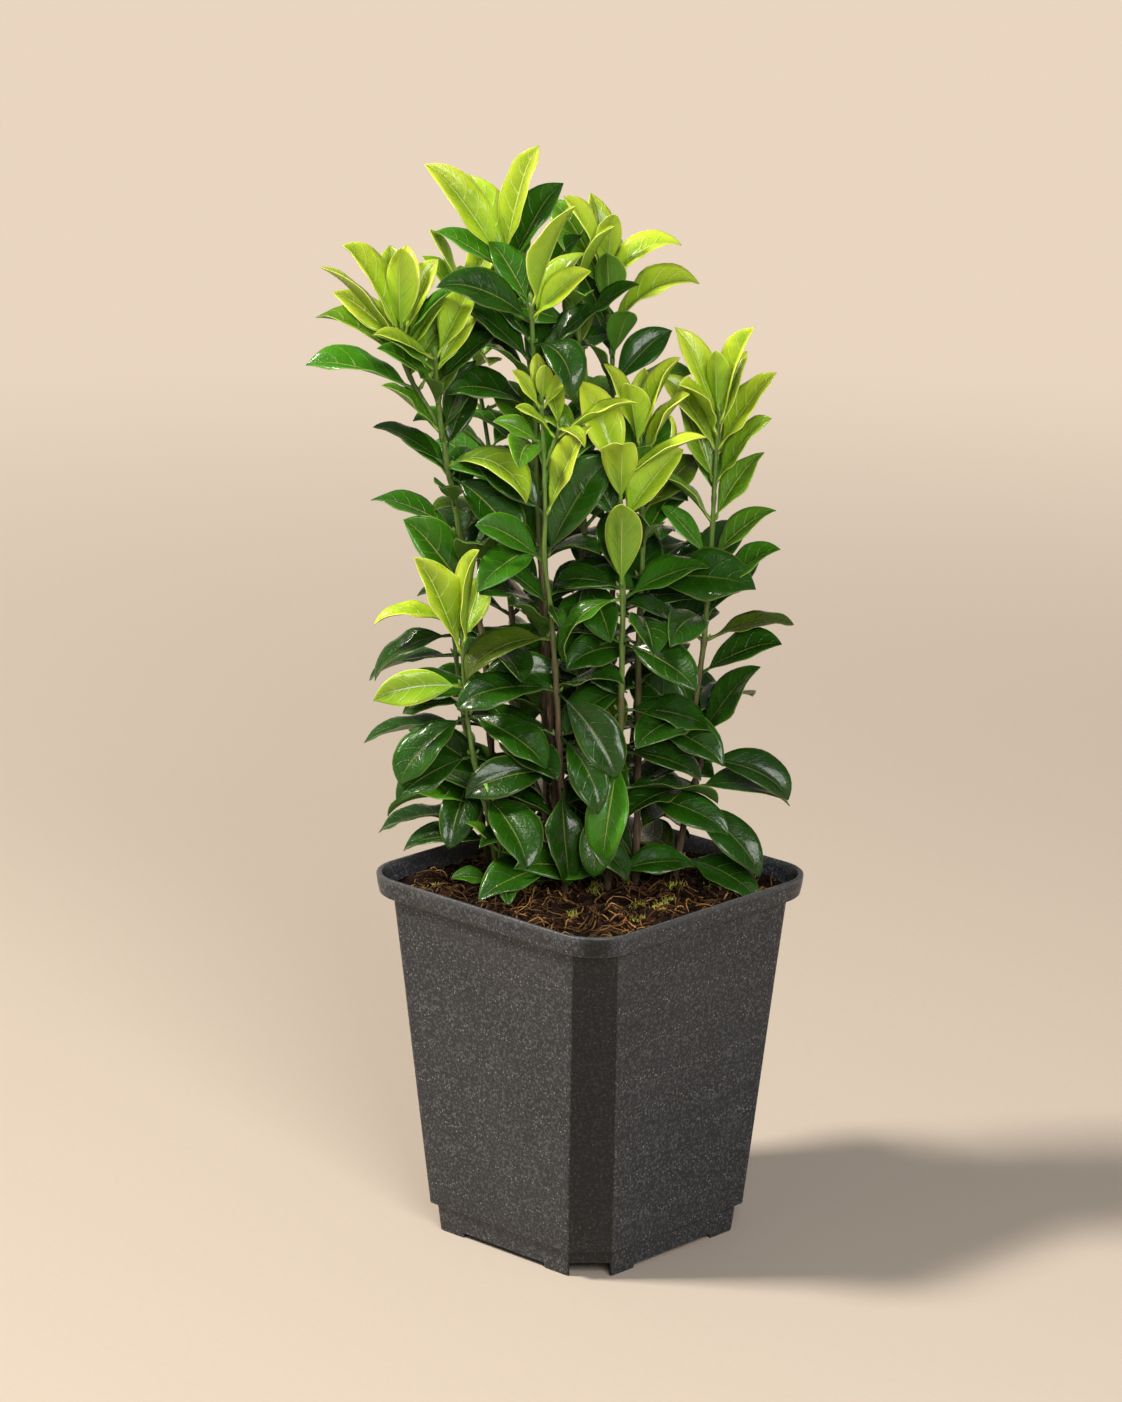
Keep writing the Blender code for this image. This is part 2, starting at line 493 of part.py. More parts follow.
# ---- soil ----
def soil_height(x, y, share):
    """The uneven surface. It is lower at the wall, most of all in the corners at the plant's two sides."""
    wave = SWELL_SHARES[0] * math.sin(x / SOIL_SWELLS[0] + SWELL_SHIFT) * math.cos(y / SOIL_SWELLS[1])
    wave += SWELL_SHARES[1] * math.sin((x + y) / SOIL_SWELLS[2])
    wave += SWELL_SHARES[2] * math.cos(y / SOIL_SWELLS[3])
    corner = max(0.0, abs(x + y) / (2 * SOIL_EDGE_HALF) - SOIL_CORNER_FROM)
    edge = share ** 6
    return SOIL_TOP + SOIL_RELIEF * wave * (1.0 - 0.6 * edge) - SOIL_EDGE_DROP * edge - SOIL_CORNER_DROP * corner


def soil_rings():
    """From the floor up along the wall, then in over the surface."""
    slack = WALL + GAP
    rings = [
        square_ring(faceted_corner(FOOT_HALF - slack), FLOOR_Z + slack),
        square_ring(faceted_corner(body_half(STEP_INSIDE) - slack), STEP_INSIDE + GAP),
        square_ring(faceted_corner(BODY_TOP_HALF - slack), neck_height()),
    ]
    top = square_ring(faceted_corner(SOIL_EDGE_HALF), 0.0)
    for share in SOIL_RINGS:
        ring = [p * share for p in top]
        rings.append([Vector((p.x, p.y, soil_height(p.x, p.y, share))) for p in ring])
    rings.append([Vector((0.0, 0.0, soil_height(0.0, 0.0, 0.0)))])
    return rings


def make_soil(material, stems):
    """The soil, with a close hole for each stem."""
    soil = mesh_object("potting_soil", *loft(soil_rings()), material)
    bm = bmesh.new()
    for plan in stems:
        low = slice(STEM_RINGS_IN_SOIL)
        points, faces = loft(stem_rings(plan["path"][low], plan["widths"][low], GAP))
        new = [bm.verts.new(Vector(p) * MM) for p in points]
        for face in faces:
            bm.faces.new([new[i] for i in face])
    bmesh.ops.recalc_face_normals(bm, faces=bm.faces)
    cut = soil.modifiers.new("stem_holes", "BOOLEAN")
    cut.operation = "DIFFERENCE"
    cut.object = cutter("stem_holes", bm)
    return soil


# ---- stems ----
def stem_rings(path, widths, extra=0.0):
    """Rings square to the path, this much wider than the stem and this much longer at both ends."""
    rings = []
    for i, (point, radius) in enumerate(zip(path, widths)):
        along = (path[min(i + 1, len(path) - 1)] - path[max(i - 1, 0)]).normalized()
        first = along.cross(Vector((0.0, 1.0, 0.0))).normalized()
        second = along.cross(first)
        middle = point + along * (extra * ((i == len(path) - 1) - (i == 0)))
        rings.append([
            middle + (radius + extra) * (first * math.cos(a) + second * math.sin(a))
            for a in (math.tau * k / STEM_SIDES for k in range(STEM_SIDES))
        ])
    return rings


def stem_plan(name, axis, radius):
    """A stem's path in the pot's axes, with its radius at each point."""
    path = smooth_path([in_world(p) for p in axis], STEM_STEP)
    widths = []
    for i in range(len(path)):
        widths.append(radius[0] + (radius[1] - radius[0]) * i / (len(path) - 1))
    return dict(name=name, path=path, widths=widths)


def stem_at(plan, height):
    """The stem's middle and radius at this height."""
    path = plan["path"]
    for i, (low, high) in enumerate(zip(path, path[1:])):
        if height <= high.z or i == len(path) - 2:
            share = min(max((height - low.z) / (high.z - low.z), 0.0), 1.0)
            width = plan["widths"][i] + (plan["widths"][i + 1] - plan["widths"][i]) * share
            return low.lerp(high, share), width


# ---- leaves ----
def blade_share(s):
    """Half width along a blade from its foot at 0 to its tip at 1, as a share of the widest."""
    widest = BLADE_WEDGE / (BLADE_WEDGE + BLADE_POINT)
    return (s / widest) ** BLADE_WEDGE * ((1.0 - s) / (1.0 - widest)) ** BLADE_POINT


def leaf_rings(base, out, turn, rise, leaf, segments, root=0.0, extra=0.0):
    """Rings of a leaf that starts this far out from the stem's middle at base.

    root lengthens the stalk back into the stem, and extra makes the leaf fatter all round.
    """
    length, _, bend, face = leaf[:4]
    heading = in_world((math.cos(math.radians(turn)), math.sin(math.radians(turn)), 0.0))
    light = in_world(LIGHT_SIDE)
    point = base + heading * out
    rings = []
    before = 0.0
    for s in (0.0,) + BLADE_STATIONS[segments]:
        up = math.radians(rise - bend * (s + before) / 2)
        if s <= PETIOLE:
            up = min(up, math.radians(STALK_RISE))
        step = (s - before) * length
        point = point + (heading * math.cos(up) + UP * math.sin(up)) * step
        before = s
        up = math.radians(rise - bend * s)
        along = heading * math.cos(up) + UP * math.sin(up)
        normal = UP * math.cos(up) - heading * math.sin(up)
        across = along.cross(normal)
        tilt = math.radians(face) * (1.0 if across.dot(light) > 0.0 else -1.0)
        normal = normal * math.cos(tilt) + across * math.sin(tilt)
        across = along.cross(normal)
        middle = point - heading * (root if s == 0.0 else 0.0)
        if s == 1.0:
            rings.append([middle + along * extra])
            continue
        if s <= PETIOLE:
            half = PETIOLE_WIDTH / 2
            fold = 0.0
            thick = PETIOLE_WIDTH / 2 + extra
        else:
            half = length * LEAF_WIDTH / 2 * blade_share((s - PETIOLE) / (1.0 - PETIOLE))
            fold = LEAF_FOLD * half
            thick = LEAF_THICK / 2 + extra
        side = across * (half + extra)
        raised = middle + normal * fold
        rings.append([raised + side, middle + normal * thick, raised - side, middle - normal * thick])
    return rings


def tree_of(points, faces):
    return BVHTree.FromPolygons([tuple(p) for p in points], faces)


def box_of(points):
    """The lowest and then the highest x, y and z."""
    sides = list(zip(*points))
    return [min(side) for side in sides] + [max(side) for side in sides]


def boxes_meet(a, b):
    return (a[0] <= b[3] and b[0] <= a[3] and a[1] <= b[4] and b[1] <= a[4] and a[2] <= b[5] and b[2] <= a[5])


class Crowd:
    """What already stands in the pot, to keep each new leaf clear of it."""

    def __init__(self):
        self.placed = []

    def add(self, points, faces, owner=""):
        self.placed.append((box_of(points), tree_of(points, faces), owner))

    def is_free(self, points, faces, but_not=()):
        box = box_of(points)
        tree = None
        for other_box, other_tree, owner in self.placed:
            if owner in but_not or not boxes_meet(box, other_box):
                continue
            tree = tree or tree_of(points, faces)
            if tree.overlap(other_tree):
                return False
        return True


def place_leaf(crowd, plan, row, is_own):
    """Where one leaf goes: the nearest free turn and rise, or None if there is no room for it.

    A leaf of its own stays clear of everything. One that is joined to its stem runs on into it.
    """
    height, turn, leaf = row
    base, radius = stem_at(plan, height)
    out = radius + STALK_SET_OFF
    segments = OWN_LEAF_SEGMENTS if is_own else JOINED_LEAF_SEGMENTS
    same_stem = plan["name"]
    same_solid = (same_stem, same_stem + "_joined")
    for shrink in SHRINK:
        smaller = (leaf[0] * shrink,) + tuple(leaf[1:])
        for turned, raised in SIDESTEPS:
            place = (base, out, turn + turned, leaf[1] + raised, smaller)
            fat = leaf_rings(*place, segments, extra=LEAF_CLEARANCE)
            if not crowd.is_free(*loft(fat), but_not=(same_stem,)):
                continue
            real = loft(leaf_rings(*place, segments))
            if not crowd.is_free(*real):
                continue
            if is_own:
                crowd.add(*real)
                return place
            rooted = loft(leaf_rings(*place, segments, root=out, extra=GAP))
            if crowd.is_free(*rooted, but_not=same_solid):
                crowd.add(*real, owner=same_stem + "_joined")
                crowd.add(*loft(leaf_rings(*place, segments, root=out)), owner=same_stem)
                return place
    return None


# ---- assembly ----
def make_material(name, colour, roughness):
    material = bpy.data.materials.new(name)
    material.use_nodes = True
    shader = material.node_tree.nodes["Principled BSDF"]
    shader.inputs["Base Color"].default_value = (*colour, 1.0)
    shader.inputs["Roughness"].default_value = roughness
    shader.inputs["Metallic"].default_value = 0.0
    return material


def numbered(name, stem_name, rows):
    """(leaf's name, stem's name, row) of one stem's leaves from the top down."""
    in_order = sorted(rows, key=lambda row: -row[0])
    return [(f"{name}_leaf_{i + 1:02d}", stem_name, row) for i, row in enumerate(in_order)]


def all_leaf_rows():
    """The plans of the stems and of the branch by name, and every leaf in growing order."""
    plans = {}
    rows = []
    for name in GROWING_ORDER:
        stem = STEMS[name]
        plans[name] = stem_plan(name, stem["axis"], stem["radius"])
        rows += numbered(name, name, stem["leaves"])
        if "branch" in stem:
            plans[name + "_branch"] = stem_plan(name, stem["branch"], stem["branch_radius"])
            rows += numbered(name + "_branch", name + "_branch", stem["branch_leaves"])
    return plans, rows


def largest_leaves(rows):
    """The names of the leaves that are pieces of their own. The rest are one with their stem."""
    by_length = sorted(rows, key=lambda entry: -entry[2][2][0])
    return {entry[0] for entry in by_length[:MOST_OWN_LEAVES]}


def join_to_stem(stem, parts):
    """The stem and these shapes as one solid."""
    group = bpy.data.collections.new(stem.name + "_joined")
    bpy.context.scene.collection.children.link(group)
    for part in parts:
        bpy.context.scene.collection.objects.unlink(part)
        group.objects.link(part)
        part.hide_render = True
        part.display_type = "WIRE"
    union = stem.modifiers.new("joined", "BOOLEAN")
    union.operation = "UNION"
    union.operand_type = "COLLECTION"
    union.collection = group


def make_plant(stem_material, leaf_materials):
    plans, rows = all_leaf_rows()
    crowd = Crowd()
    crowd.add(*loft(pot_rings()))
    crowd.add(*loft(soil_rings()), owner="soil")
    for plan in plans.values():
        rings = stem_rings(plan["path"], plan["widths"], GAP)
        crowd.add(*loft(rings), owner=plan["name"])
    own = largest_leaves(rows)
    joined = {name: [] for name in GROWING_ORDER}
    for name, stem_name, row in rows:
        place = place_leaf(crowd, plans[stem_name], row, name in own)
        if not place:
            continue
        material = leaf_materials[leaf_age(row) <= YOUNG_AGE]
        if name in own:
            mesh_object(name, *loft(leaf_rings(*place, OWN_LEAF_SEGMENTS)), material)
        else:
            shape = leaf_rings(*place, JOINED_LEAF_SEGMENTS, root=place[1])
            joined[stem_name.removesuffix("_branch")].append(mesh_object(name, *loft(shape), material))
    for name in GROWING_ORDER:
        plan = plans[name]
        stem = mesh_object(name + "_stem", *loft(stem_rings(plan["path"], plan["widths"])), stem_material)
        if name + "_branch" in plans:
            branch = plans[name + "_branch"]
            rings = stem_rings(branch["path"], branch["widths"])
            joined[name].append(mesh_object(name + "_branch", *loft(rings), stem_material))
        join_to_stem(stem, joined[name])
    return [plans[name] for name in GROWING_ORDER]


def leaf_age(row):
    """From 0, new, to 1, old. Without a stated age a leaf is as old as its height says."""
    height, _, leaf = row
    return leaf[4] if len(leaf) > 4 else max(0.3, min(0.95, 0.95 - (height - 200.0) / 160.0))


def main():
    for old in list(bpy.data.objects):
        bpy.data.objects.remove(old)
    grey = make_material("grey_plastic", (0.075, 0.075, 0.078), 0.55)
    peat = make_material("peat", (0.11, 0.055, 0.03), 0.95)
    bark = make_material("stem_bark", (0.2, 0.2, 0.08), 0.6)
    dark = make_material("grown_leaf", (0.02, 0.07, 0.015), 0.3)
    fresh = make_material("young_leaf", (0.25, 0.38, 0.05), 0.38)
    make_pot(grey)
    stems = make_plant(bark, (dark, fresh))
    make_soil(peat, stems)
    stand = bpy.data.objects.new("spindle_in_pot", None)
    stand.location = (POT_AXIS[0] * MM, POT_AXIS[1] * MM, 0.0)
    bpy.context.scene.collection.objects.link(stand)
    for piece in bpy.data.objects:
        if piece.type == "MESH":
            piece.parent = stand


main()
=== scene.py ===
"""Potted Japanese spindle: fine leaves, stems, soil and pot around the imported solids.

The plant grows from the same stems and leaf pairs as its solids, and each leaf finds the same free place.
Lengths in the growing part are in millimetres from the pot's middle, as in the solids. Pieces are in metres.
"""

import functools
import math
import random

import bmesh
import bpy
from bpy.props import FloatProperty, FloatVectorProperty, IntProperty, PointerProperty
from bpy.types import Operator, Panel, PropertyGroup
from mathutils import Matrix, Vector, noise
from mathutils.bvhtree import BVHTree


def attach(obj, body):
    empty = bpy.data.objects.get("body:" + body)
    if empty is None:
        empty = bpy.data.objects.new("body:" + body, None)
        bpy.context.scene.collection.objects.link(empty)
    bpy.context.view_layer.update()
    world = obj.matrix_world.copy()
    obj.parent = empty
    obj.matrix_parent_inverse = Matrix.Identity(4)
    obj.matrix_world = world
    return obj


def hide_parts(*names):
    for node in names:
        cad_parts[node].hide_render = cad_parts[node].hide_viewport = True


bl_info = {
    "name": "Potted Japanese Spindle",
    "version": (1, 0, 0),
    "blender": (4, 5, 0),
    "location": "View3D > Sidebar > Spindle",
    "description": "Makes the leaves, stems, soil, pot and studio of a potted Japanese spindle",
    "category": "Object",
}

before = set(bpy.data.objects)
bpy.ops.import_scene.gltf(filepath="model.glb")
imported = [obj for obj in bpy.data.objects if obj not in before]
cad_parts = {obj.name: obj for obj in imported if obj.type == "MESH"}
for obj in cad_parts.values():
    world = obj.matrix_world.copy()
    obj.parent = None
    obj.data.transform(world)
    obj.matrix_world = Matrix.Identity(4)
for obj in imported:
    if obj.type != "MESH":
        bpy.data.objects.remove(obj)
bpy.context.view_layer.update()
MM = 0.001
GAP = 0.35  # the least space between two solids
# The pot's middle. The plant leans past the pot, and the origin is under the middle of the whole.
POT_AXIS = (9.3, -2.9)
POT_TO_FRAME = Matrix.Translation((POT_AXIS[0] * MM, POT_AXIS[1] * MM, 0.0)) @ Matrix.Scale(MM, 4)

# ---- pot ----
RIM_HALF = 55.0  # half of the rim's outer width
POT_HEIGHT = 125.0
RIM_BAND = 7.0  # height of the upright band below the lip
RIM_RADIUS = 15.5
RIM_LEAN = 0.8  # how much the band widens upwards
BODY_TOP_HALF = 51.4  # half width of the body just below the rim
BODY_FOOT_HALF = 42.6  # half width of the body where it steps in to the foot
FOOT_HALF = 40.0
FOOT_BAND = 9.6  # height of the stepped-in foot
FOOT_WALL = 2.4
FACET_LEG = 10.2  # how much of each side the flat corner facet takes
FACET_INSET = 0.7  # how far the facet lies behind the corner's edges
WALL = 1.4
FLOOR_Z = 5.0  # underside of the pot's floor
CORNER_GAP = 4.8  # height of the opening under each corner facet
SIDE_GAP = (38.0, 1.8)  # width and height of the opening under each side
OPENING_DEPTH = 12.0
DRAIN_RADIUS = 3.6
DRAIN_RING = 22.0
DRAIN_COUNT = 6

# ---- soil ----
SOIL_TOP = 120.0  # mean height of the surface
SOIL_RELIEF = 1.0
SOIL_EDGE_DROP = 1.1  # how much lower the surface is at the wall
SOIL_CORNER_DROP = 2.0  # and in the corners at the plant's two sides
SOIL_CORNER_FROM = 0.55  # where the drop to those corners starts
SOIL_EDGE_HALF = 50.9
SOIL_SWELLS = (7.0, 9.0, 4.3, 3.7)  # widths of the surface's swells: along x, along y, slanting and fine
SWELL_SHARES = (1.0, 0.6, 0.5)  # how high they are: the broad, the slanting and the fine ones
SWELL_SHIFT = 1.3

# ---- plant ----
PLANT_TURN = 43.5  # the plant's light side is turned this much from the pot's front side
LEAF_THICK = 0.7  # of a leaf's solid
LEAF_FOLD = 0.24  # how far a blade's two halves rise, as a share of the half width
LEAF_WIDTH = 0.43  # width of a blade as a share of its length
PETIOLE = 0.07  # share of a leaf's length that is stalk
PETIOLE_WIDTH = 1.0
STALK_RISE = 64.0  # the steepest that a stalk leaves its stem
STALK_SET_OFF = 0.86  # from the stem's surface to the foot of a leaf that is a piece of its own
LEAF_CLEARANCE = 0.4  # kept free round a leaf
OWN_LEAF_SEGMENTS = 5
JOINED_LEAF_SEGMENTS = 3
BLADE_STATIONS = {
    OWN_LEAF_SEGMENTS: (PETIOLE, 0.32, 0.58, 0.83, 1.0),
    JOINED_LEAF_SEGMENTS: (0.34, 0.67, 1.0),
}
BLADE_WEDGE = 1.1  # how slowly a blade widens from its foot
BLADE_POINT = 0.8  # how early it narrows to its tip
STEM_SIDES = 6
STEM_STEP = 15.0  # between the rings of a stem
MOST_OWN_LEAVES = 44  # how many of the largest leaves are to be pieces of their own
OLDEST = 0.95  # the age of the leaves low down, where none is stated
YOUNGEST = 0.3  # and of those at the top
OLD_UP_TO = 200.0
AGE_SPAN = 160.0  # the height over which a leaf's age falls by 1
RUN_LENGTH = (34.0, 30.0)  # of the leaves of a run, from its lowest to its highest
RUN_RISE = (20.0, 52.0)
RUN_BEND = 38.0
RUN_FACE = 20.0
RUN_TURN = 97.0  # from one pair to the next


def pair(height, turn, first, second=None):
    """Two opposite leaves. Each is (length, rise, bend, face) and an optional age from 0, new, to 1, old."""
    return [(height, turn, first)] + ([(height, turn + 180.0, second)] if second else [])


def run(low, high, count, turn):
    """Pairs at even steps up a stem, each about a quarter turn from the one below."""
    rows = []
    for i in range(int(count)):
        share = i / (count - 1)
        length = RUN_LENGTH[0] + (RUN_LENGTH[1] - RUN_LENGTH[0]) * share
        up = RUN_RISE[0] + (RUN_RISE[1] - RUN_RISE[0]) * share
        height = low + (high - low) * share
        opposite = (length * 0.94, up - 4.0, RUN_BEND, RUN_FACE)
        rows += pair(height, turn + RUN_TURN * i, (length, up, RUN_BEND, RUN_FACE), opposite)
    return rows


def leaf_rows(text):
    """The rows of a stem's leaves, from its text in the table."""
    rows = []
    for entry in text.split(";"):
        if "run" in entry:
            rows += run(*(float(word) for word in entry.split()[1:]))
        else:
            (height, turn), *leaves = [tuple(map(float, part.split())) for part in entry.split("/")]
            rows += pair(height, turn, *leaves)
    return rows


# Each stem: the points that its axis passes through as (right, away, up) in the plant's own axes, its radius
# low down and at the tip, and its leaves from the bottom up. A side branch is written in the same way.
# A pair of leaves is its height and turn / length, rise, bend, face and an optional age / the same of the
# opposite leaf. A run is its lowest and highest pair, their count and the first turn. A turn is 0 to the
# right and 90 away, and face turns the blade's upper side to the light.
STEMS = {
    "front_left": dict(
        axis=((-8, -6, 96), (-9, -7, 140), (-11.9, -8, 190), (-14.2, -8, 218), (-16.2, -9, 234),
              (-16.2, -9, 250), (-16.8, -8, 269), (-17.8, -7, 286)),
        radius=(1.6, 0.8),
        branch=((-16.8, -8, 264), (-14, -8.5, 272), (-11.5, -9, 279)),
        branch_radius=(0.9, 0.7),
        leaves="""
            130 215 / 32 -15 25 20 / 32 10 25 10; 144 -62 / 28 -20 30 20 / 32 14 25 0;
            157 -86 / 33 -60 20 30; 162 189 / 32 2 25 50 / 30 10 20 30;
            174 136 / 33 20 30 0 / 30 -10 40 34; 189 -28 / 34 -34 20 52; 189.5 186 / 34 16 40 30;
            198 60 / 33 30 35 10; 207 187 / 32 6 60 25; 218 100 / 32 35 30 10 / 13 8 40 0;
            233 195 / 27 46 18 45; 234.5 14 / 39 60 14 45 1.0; 249 -24 / 33 68 8 55 0.15 / 29 46 28 40 0.9;
            259 75 / 27 55 25 10; 272 190 / 17 40 25 45 0.5; 284 192 / 15 58 5 50 0.0 / 15 58 5 50 0.0;
            286 100 / 15 70 5 0 0.0 / 14 72 5 0 0.0
        """,
        branch_leaves="""
            275 -4 / 28 34 12 6 0.1 / 17 48 15 20 0.3; 278 -60 / 16 12 40 10 0.1 / 19 50 15 10 0.2
        """,
    ),
    "front_right": dict(
        axis=((5, -5, 96), (6, -6, 125), (9, -8, 166), (9.5, -8, 207), (9.5, -8, 221), (8.2, -9, 241),
              (8.2, -9, 255), (8.6, -9.5, 264)),
        radius=(1.8, 0.9),
        leaves="""
            125.5 199 / 32 8 26 50 0.75 / 28 20 25 30; 156 -138 / 34 -58 20 24 0.9 / 34 5 25 0;
            168.5 -104 / 36 -52 36 0 0.65 / 31 15 25 0; 169 8 / 28 -6 30 35;
            183 199 / 30 -8 40 30 / 31 2 30 30; 206 140 / 31 15 30 10 / 31 -4 30 34;
            221 190 / 30 0 85 15 0.6 / 29 34 25 30 0.8; 224.5 156 / 23 14 38 32 0.9;
            225 -96 / 34 74 12 0 0.35 / 30 45 20 0; 246 6 / 31 72 5 45 0.3 / 26 56 15 35 0.9;
            253 -86 / 29 75 36 0 0.05 / 27 60 10 0; 262 -10 / 30 36 10 12 0.1 / 33 64 12 32 0.1
        """,
    ),
    "right": dict(
        axis=((26, 6, 96), (29, 6, 125), (32.5, 6, 148), (36.3, 5.5, 163), (33.9, 5, 176),
              (34.6, 5, 186), (36.6, 5, 203), (37.3, 5, 217), (38.5, 5, 238), (39, 5, 252),
              (39.6, 5, 270), (40.4, 5, 281)),
        radius=(1.6, 0.8),
        leaves="""
            128 150 / 32 12 25 20 / 32 0 30 20; 147.5 -38 / 34 -16 45 25 / 32 8 30 10;
            152.5 15 / 34 10 45 28 / 32 10 35 20; 162 -5 / 32 2 45 28 / 32 -14 40 38;
            169 -20 / 34 62 12 52 / 32 52 20 42; 178 55 / 30 16 30 0 / 32 16 30 20;
            192 -13 / 29 38 22 38 0.85 / 29 24 50 22; 203.5 5 / 29 26 24 4 / 29 42 25 22;
            211 62 / 32 34 30 0 / 30 20 40 20; 217 -25 / 31 48 15 48 0.6 / 31 10 45 32;
            224 70 / 28 44 25 10; 231 -10 / 27 52 18 42 0.5 / 22 54 20 24 0.6;
            244 25 / 27 62 12 30 0.45 / 27 54 25 24 0.5; 252 100 / 28 56 25 0 0.5;
            257 -32 / 29 58 18 52 0.4 / 28 68 15 30 0.4; 263 70 / 29 64 15 10 0.3;
            268 -12 / 31 67 12 36 0.2 / 31 62 18 26 0.25; 273 48 / 28 72 10 0 0.15 / 30 68 24 30 0.15;
            277 -15 / 36 77 6 60 0.0 / 33 71 12 26 0.15; 280.5 60 / 22 78 4 0 0.0 / 22 78 4 0 0.0
        """,
    ),
    "low_left": dict(
        axis=((-27, -2, 96), (-33, -4, 140), (-39, -5, 165), (-42, -6, 188), (-43, -7, 207)),
        radius=(1.6, 0.8),
        leaves="""
            136 160 / 31 5 30 20 / 31 -10 30 20; 152 -58 / 34 -8 40 20 / 31 15 25 10;
            166 200 / 28 -12 35 30 / 34 -2 30 30; 180 196 / 31 -28 30 32 / 34 -12 25 34;
            184 158 / 22 0 22 24; 190 189 / 30 7 15 62 0.35 / 31 29 10 48 0.95; 201 194 / 37 70 0 52 0.1;
            204 -62 / 37 80 5 66 0.0; 205 60 / 24 60 10 20 0.3
        """,
    ),
    "left": dict(
        axis=((-28, 8, 96), (-33, 8, 160), (-36.3, 8, 203), (-40, 8, 217), (-44, 8, 237),
              (-46.5, 7, 252), (-48.5, 6, 262), (-50, 6, 271), (-54, 5, 280), (-59.5, 5, 289),
              (-63, 4.5, 298), (-63.4, 4, 307)),
        radius=(1.7, 0.9),
        branch=((-50, 6, 270), (-51, 3, 280), (-52, 0.5, 291), (-52.5, -1, 300)),
        branch_radius=(1.2, 0.8),
        leaves="""
            141 181 / 38 36 72 12 0.6 / 33 8 30 20; 154 194 / 32 20 15 58 0.95; 156.5 -63 / 28 50 55 0 0.5;
            169 128 / 34 18 30 0 / 33 4 30 20; 186 30 / 33 26 25 20 / 31 14 25 20;
            201 118 / 34 30 30 0 / 30 20 30 0; 216 194 / 34 62 12 52 0.6 / 33 54 15 32 0.9;
            226 100 / 33 44 30 0 0.9 / 28 40 30 0 0.9; 238 171 / 30 34 24 14 0.75 / 25 52 15 32 0.95;
            248 80 / 24 50 25 10 0.9 / 22 44 30 10 0.9; 258 -35 / 32 -10 45 38 0.9 / 22 44 20 10;
            261.5 172 / 26 40 25 18 0.9 / 38 32 85 22 0.35; 266 60 / 25 58 15 22 0.95;
            287 182 / 36 40 30 10 0.6 / 24 58 10 32 0.4; 291.5 95 / 28 58 15 0 0.5;
            292.5 18 / 24 58 15 34 0.4; 296 178 / 32 46 34 24 0.45 / 24 66 10 30 0.4;
            299 75 / 29 68 10 10 0.5; 300 174 / 38 70 14 4 0.1; 302 152 / 28 75 8 40 0.1 / 27 74 8 24 0.6;
            303 110 / 31 72 6 10 0.3; 305 205 / 35 62 8 54 0.1 / 26 78 4 20 0.2;
            306.5 -105 / 31 76 6 0 0.1 / 27 78 6 0 0.2
        """,
        branch_leaves="""
            273 200 / 26 68 8 20 0.5 / 24 68 8 32 0.9; 283 70 / 24 54 15 0 0.7 / 22 50 25 24 0.9;
            290 10 / 24 56 12 30 0.9 / 22 62 10 30 0.6; 295 26 / 24 58 14 40 0.25 / 22 66 10 30 0.5;
            299 5 / 29 64 10 42 0.3 / 22 72 6 30 0.3
        """,
    ),
    "far_left": dict(
        axis=((-29, 17, 96), (-37, 17, 140), (-43, 16, 175), (-46, 14, 201), (-47, 13, 212)),
        radius=(1.6, 0.8),
        leaves="""
            138 170 / 34 5 30 10 / 31 10 30 10; 155 112 / 34 15 30 0 / 31 0 40 10;
            171 172 / 34 -4 20 2 / 31 20 25 20; 186 60 / 34 20 30 0 / 29 6 30 10;
            195 164 / 32 -8 20 2 0.9 / 31 25 25 20; 202 176 / 31 -6 50 26 0.95 / 27 40 20 20;
            206 184 / 26 26 55 18 0.1 / 22 50 15 20 0.3; 210 95 / 24 60 10 0 0.2 / 20 66 10 0 0.2
        """,
    ),
    "middle": dict(
        axis=((-10, 4, 96), (-12, 4, 150), (-16, 3, 210), (-19, 1, 255), (-20, 0, 290), (-21.5, -1, 318)),
        radius=(1.7, 0.9),
        leaves="""
            run 132 270 9 40; 281 183 / 31 48 50 20 0.95 / 29 46 30 20 0.9;
            290 90 / 28 52 20 10 0.9 / 24 52 25 0 0.9; 297 178 / 29 56 18 16 0.95 / 27 52 20 20 0.9;
            304 -48 / 28 14 95 20 0.95 / 26 52 20 0 0.9; 311 193 / 35 46 40 48 0.9 / 27 62 15 40 0.3;
            312.5 -18 / 25 50 12 60 0.2; 314 130 / 26 58 20 20 0.5;
            316.5 -42 / 38 70 8 12 0.1 / 25 54 12 26 0.7
        """,
    ),
    "tall": dict(
        axis=((-14, 14, 96), (-15, 16, 150), (-17, 16, 215), (-19, 15, 272), (-22.5, 14, 298),
              (-23.5, 13.5, 312), (-27.5, 13, 322), (-32, 13, 330)),
        radius=(1.8, 0.9),
        leaves="""
            run 140 280 9 15; 291 5 / 30 52 25 20 0.95 / 29 46 30 20 0.95;
            302 95 / 29 56 20 0 0.9 / 24 56 20 0 0.9; 312 5 / 29 62 15 24 0.85 / 25 54 25 24 0.9;
            320 100 / 27 66 12 0 0.7; 324 -82 / 30 77 6 0 0.85;
            325 -12 / 33 67 8 24 0.75 / 25 68 10 20 0.6; 325.5 -72 / 37 80 6 12 0.2;
            326 135 / 33 62 8 16 0.3; 329 15 / 38 79 4 18 0.0 / 39 60 10 50 0.15
        """,
    ),
    "back_middle": dict(
        axis=((-4, 17, 96), (-4, 15, 200), (-3, 12, 270), (-4, 11, 296), (-7, 10, 309), (-8.5, 10, 321)),
        radius=(1.6, 0.8),
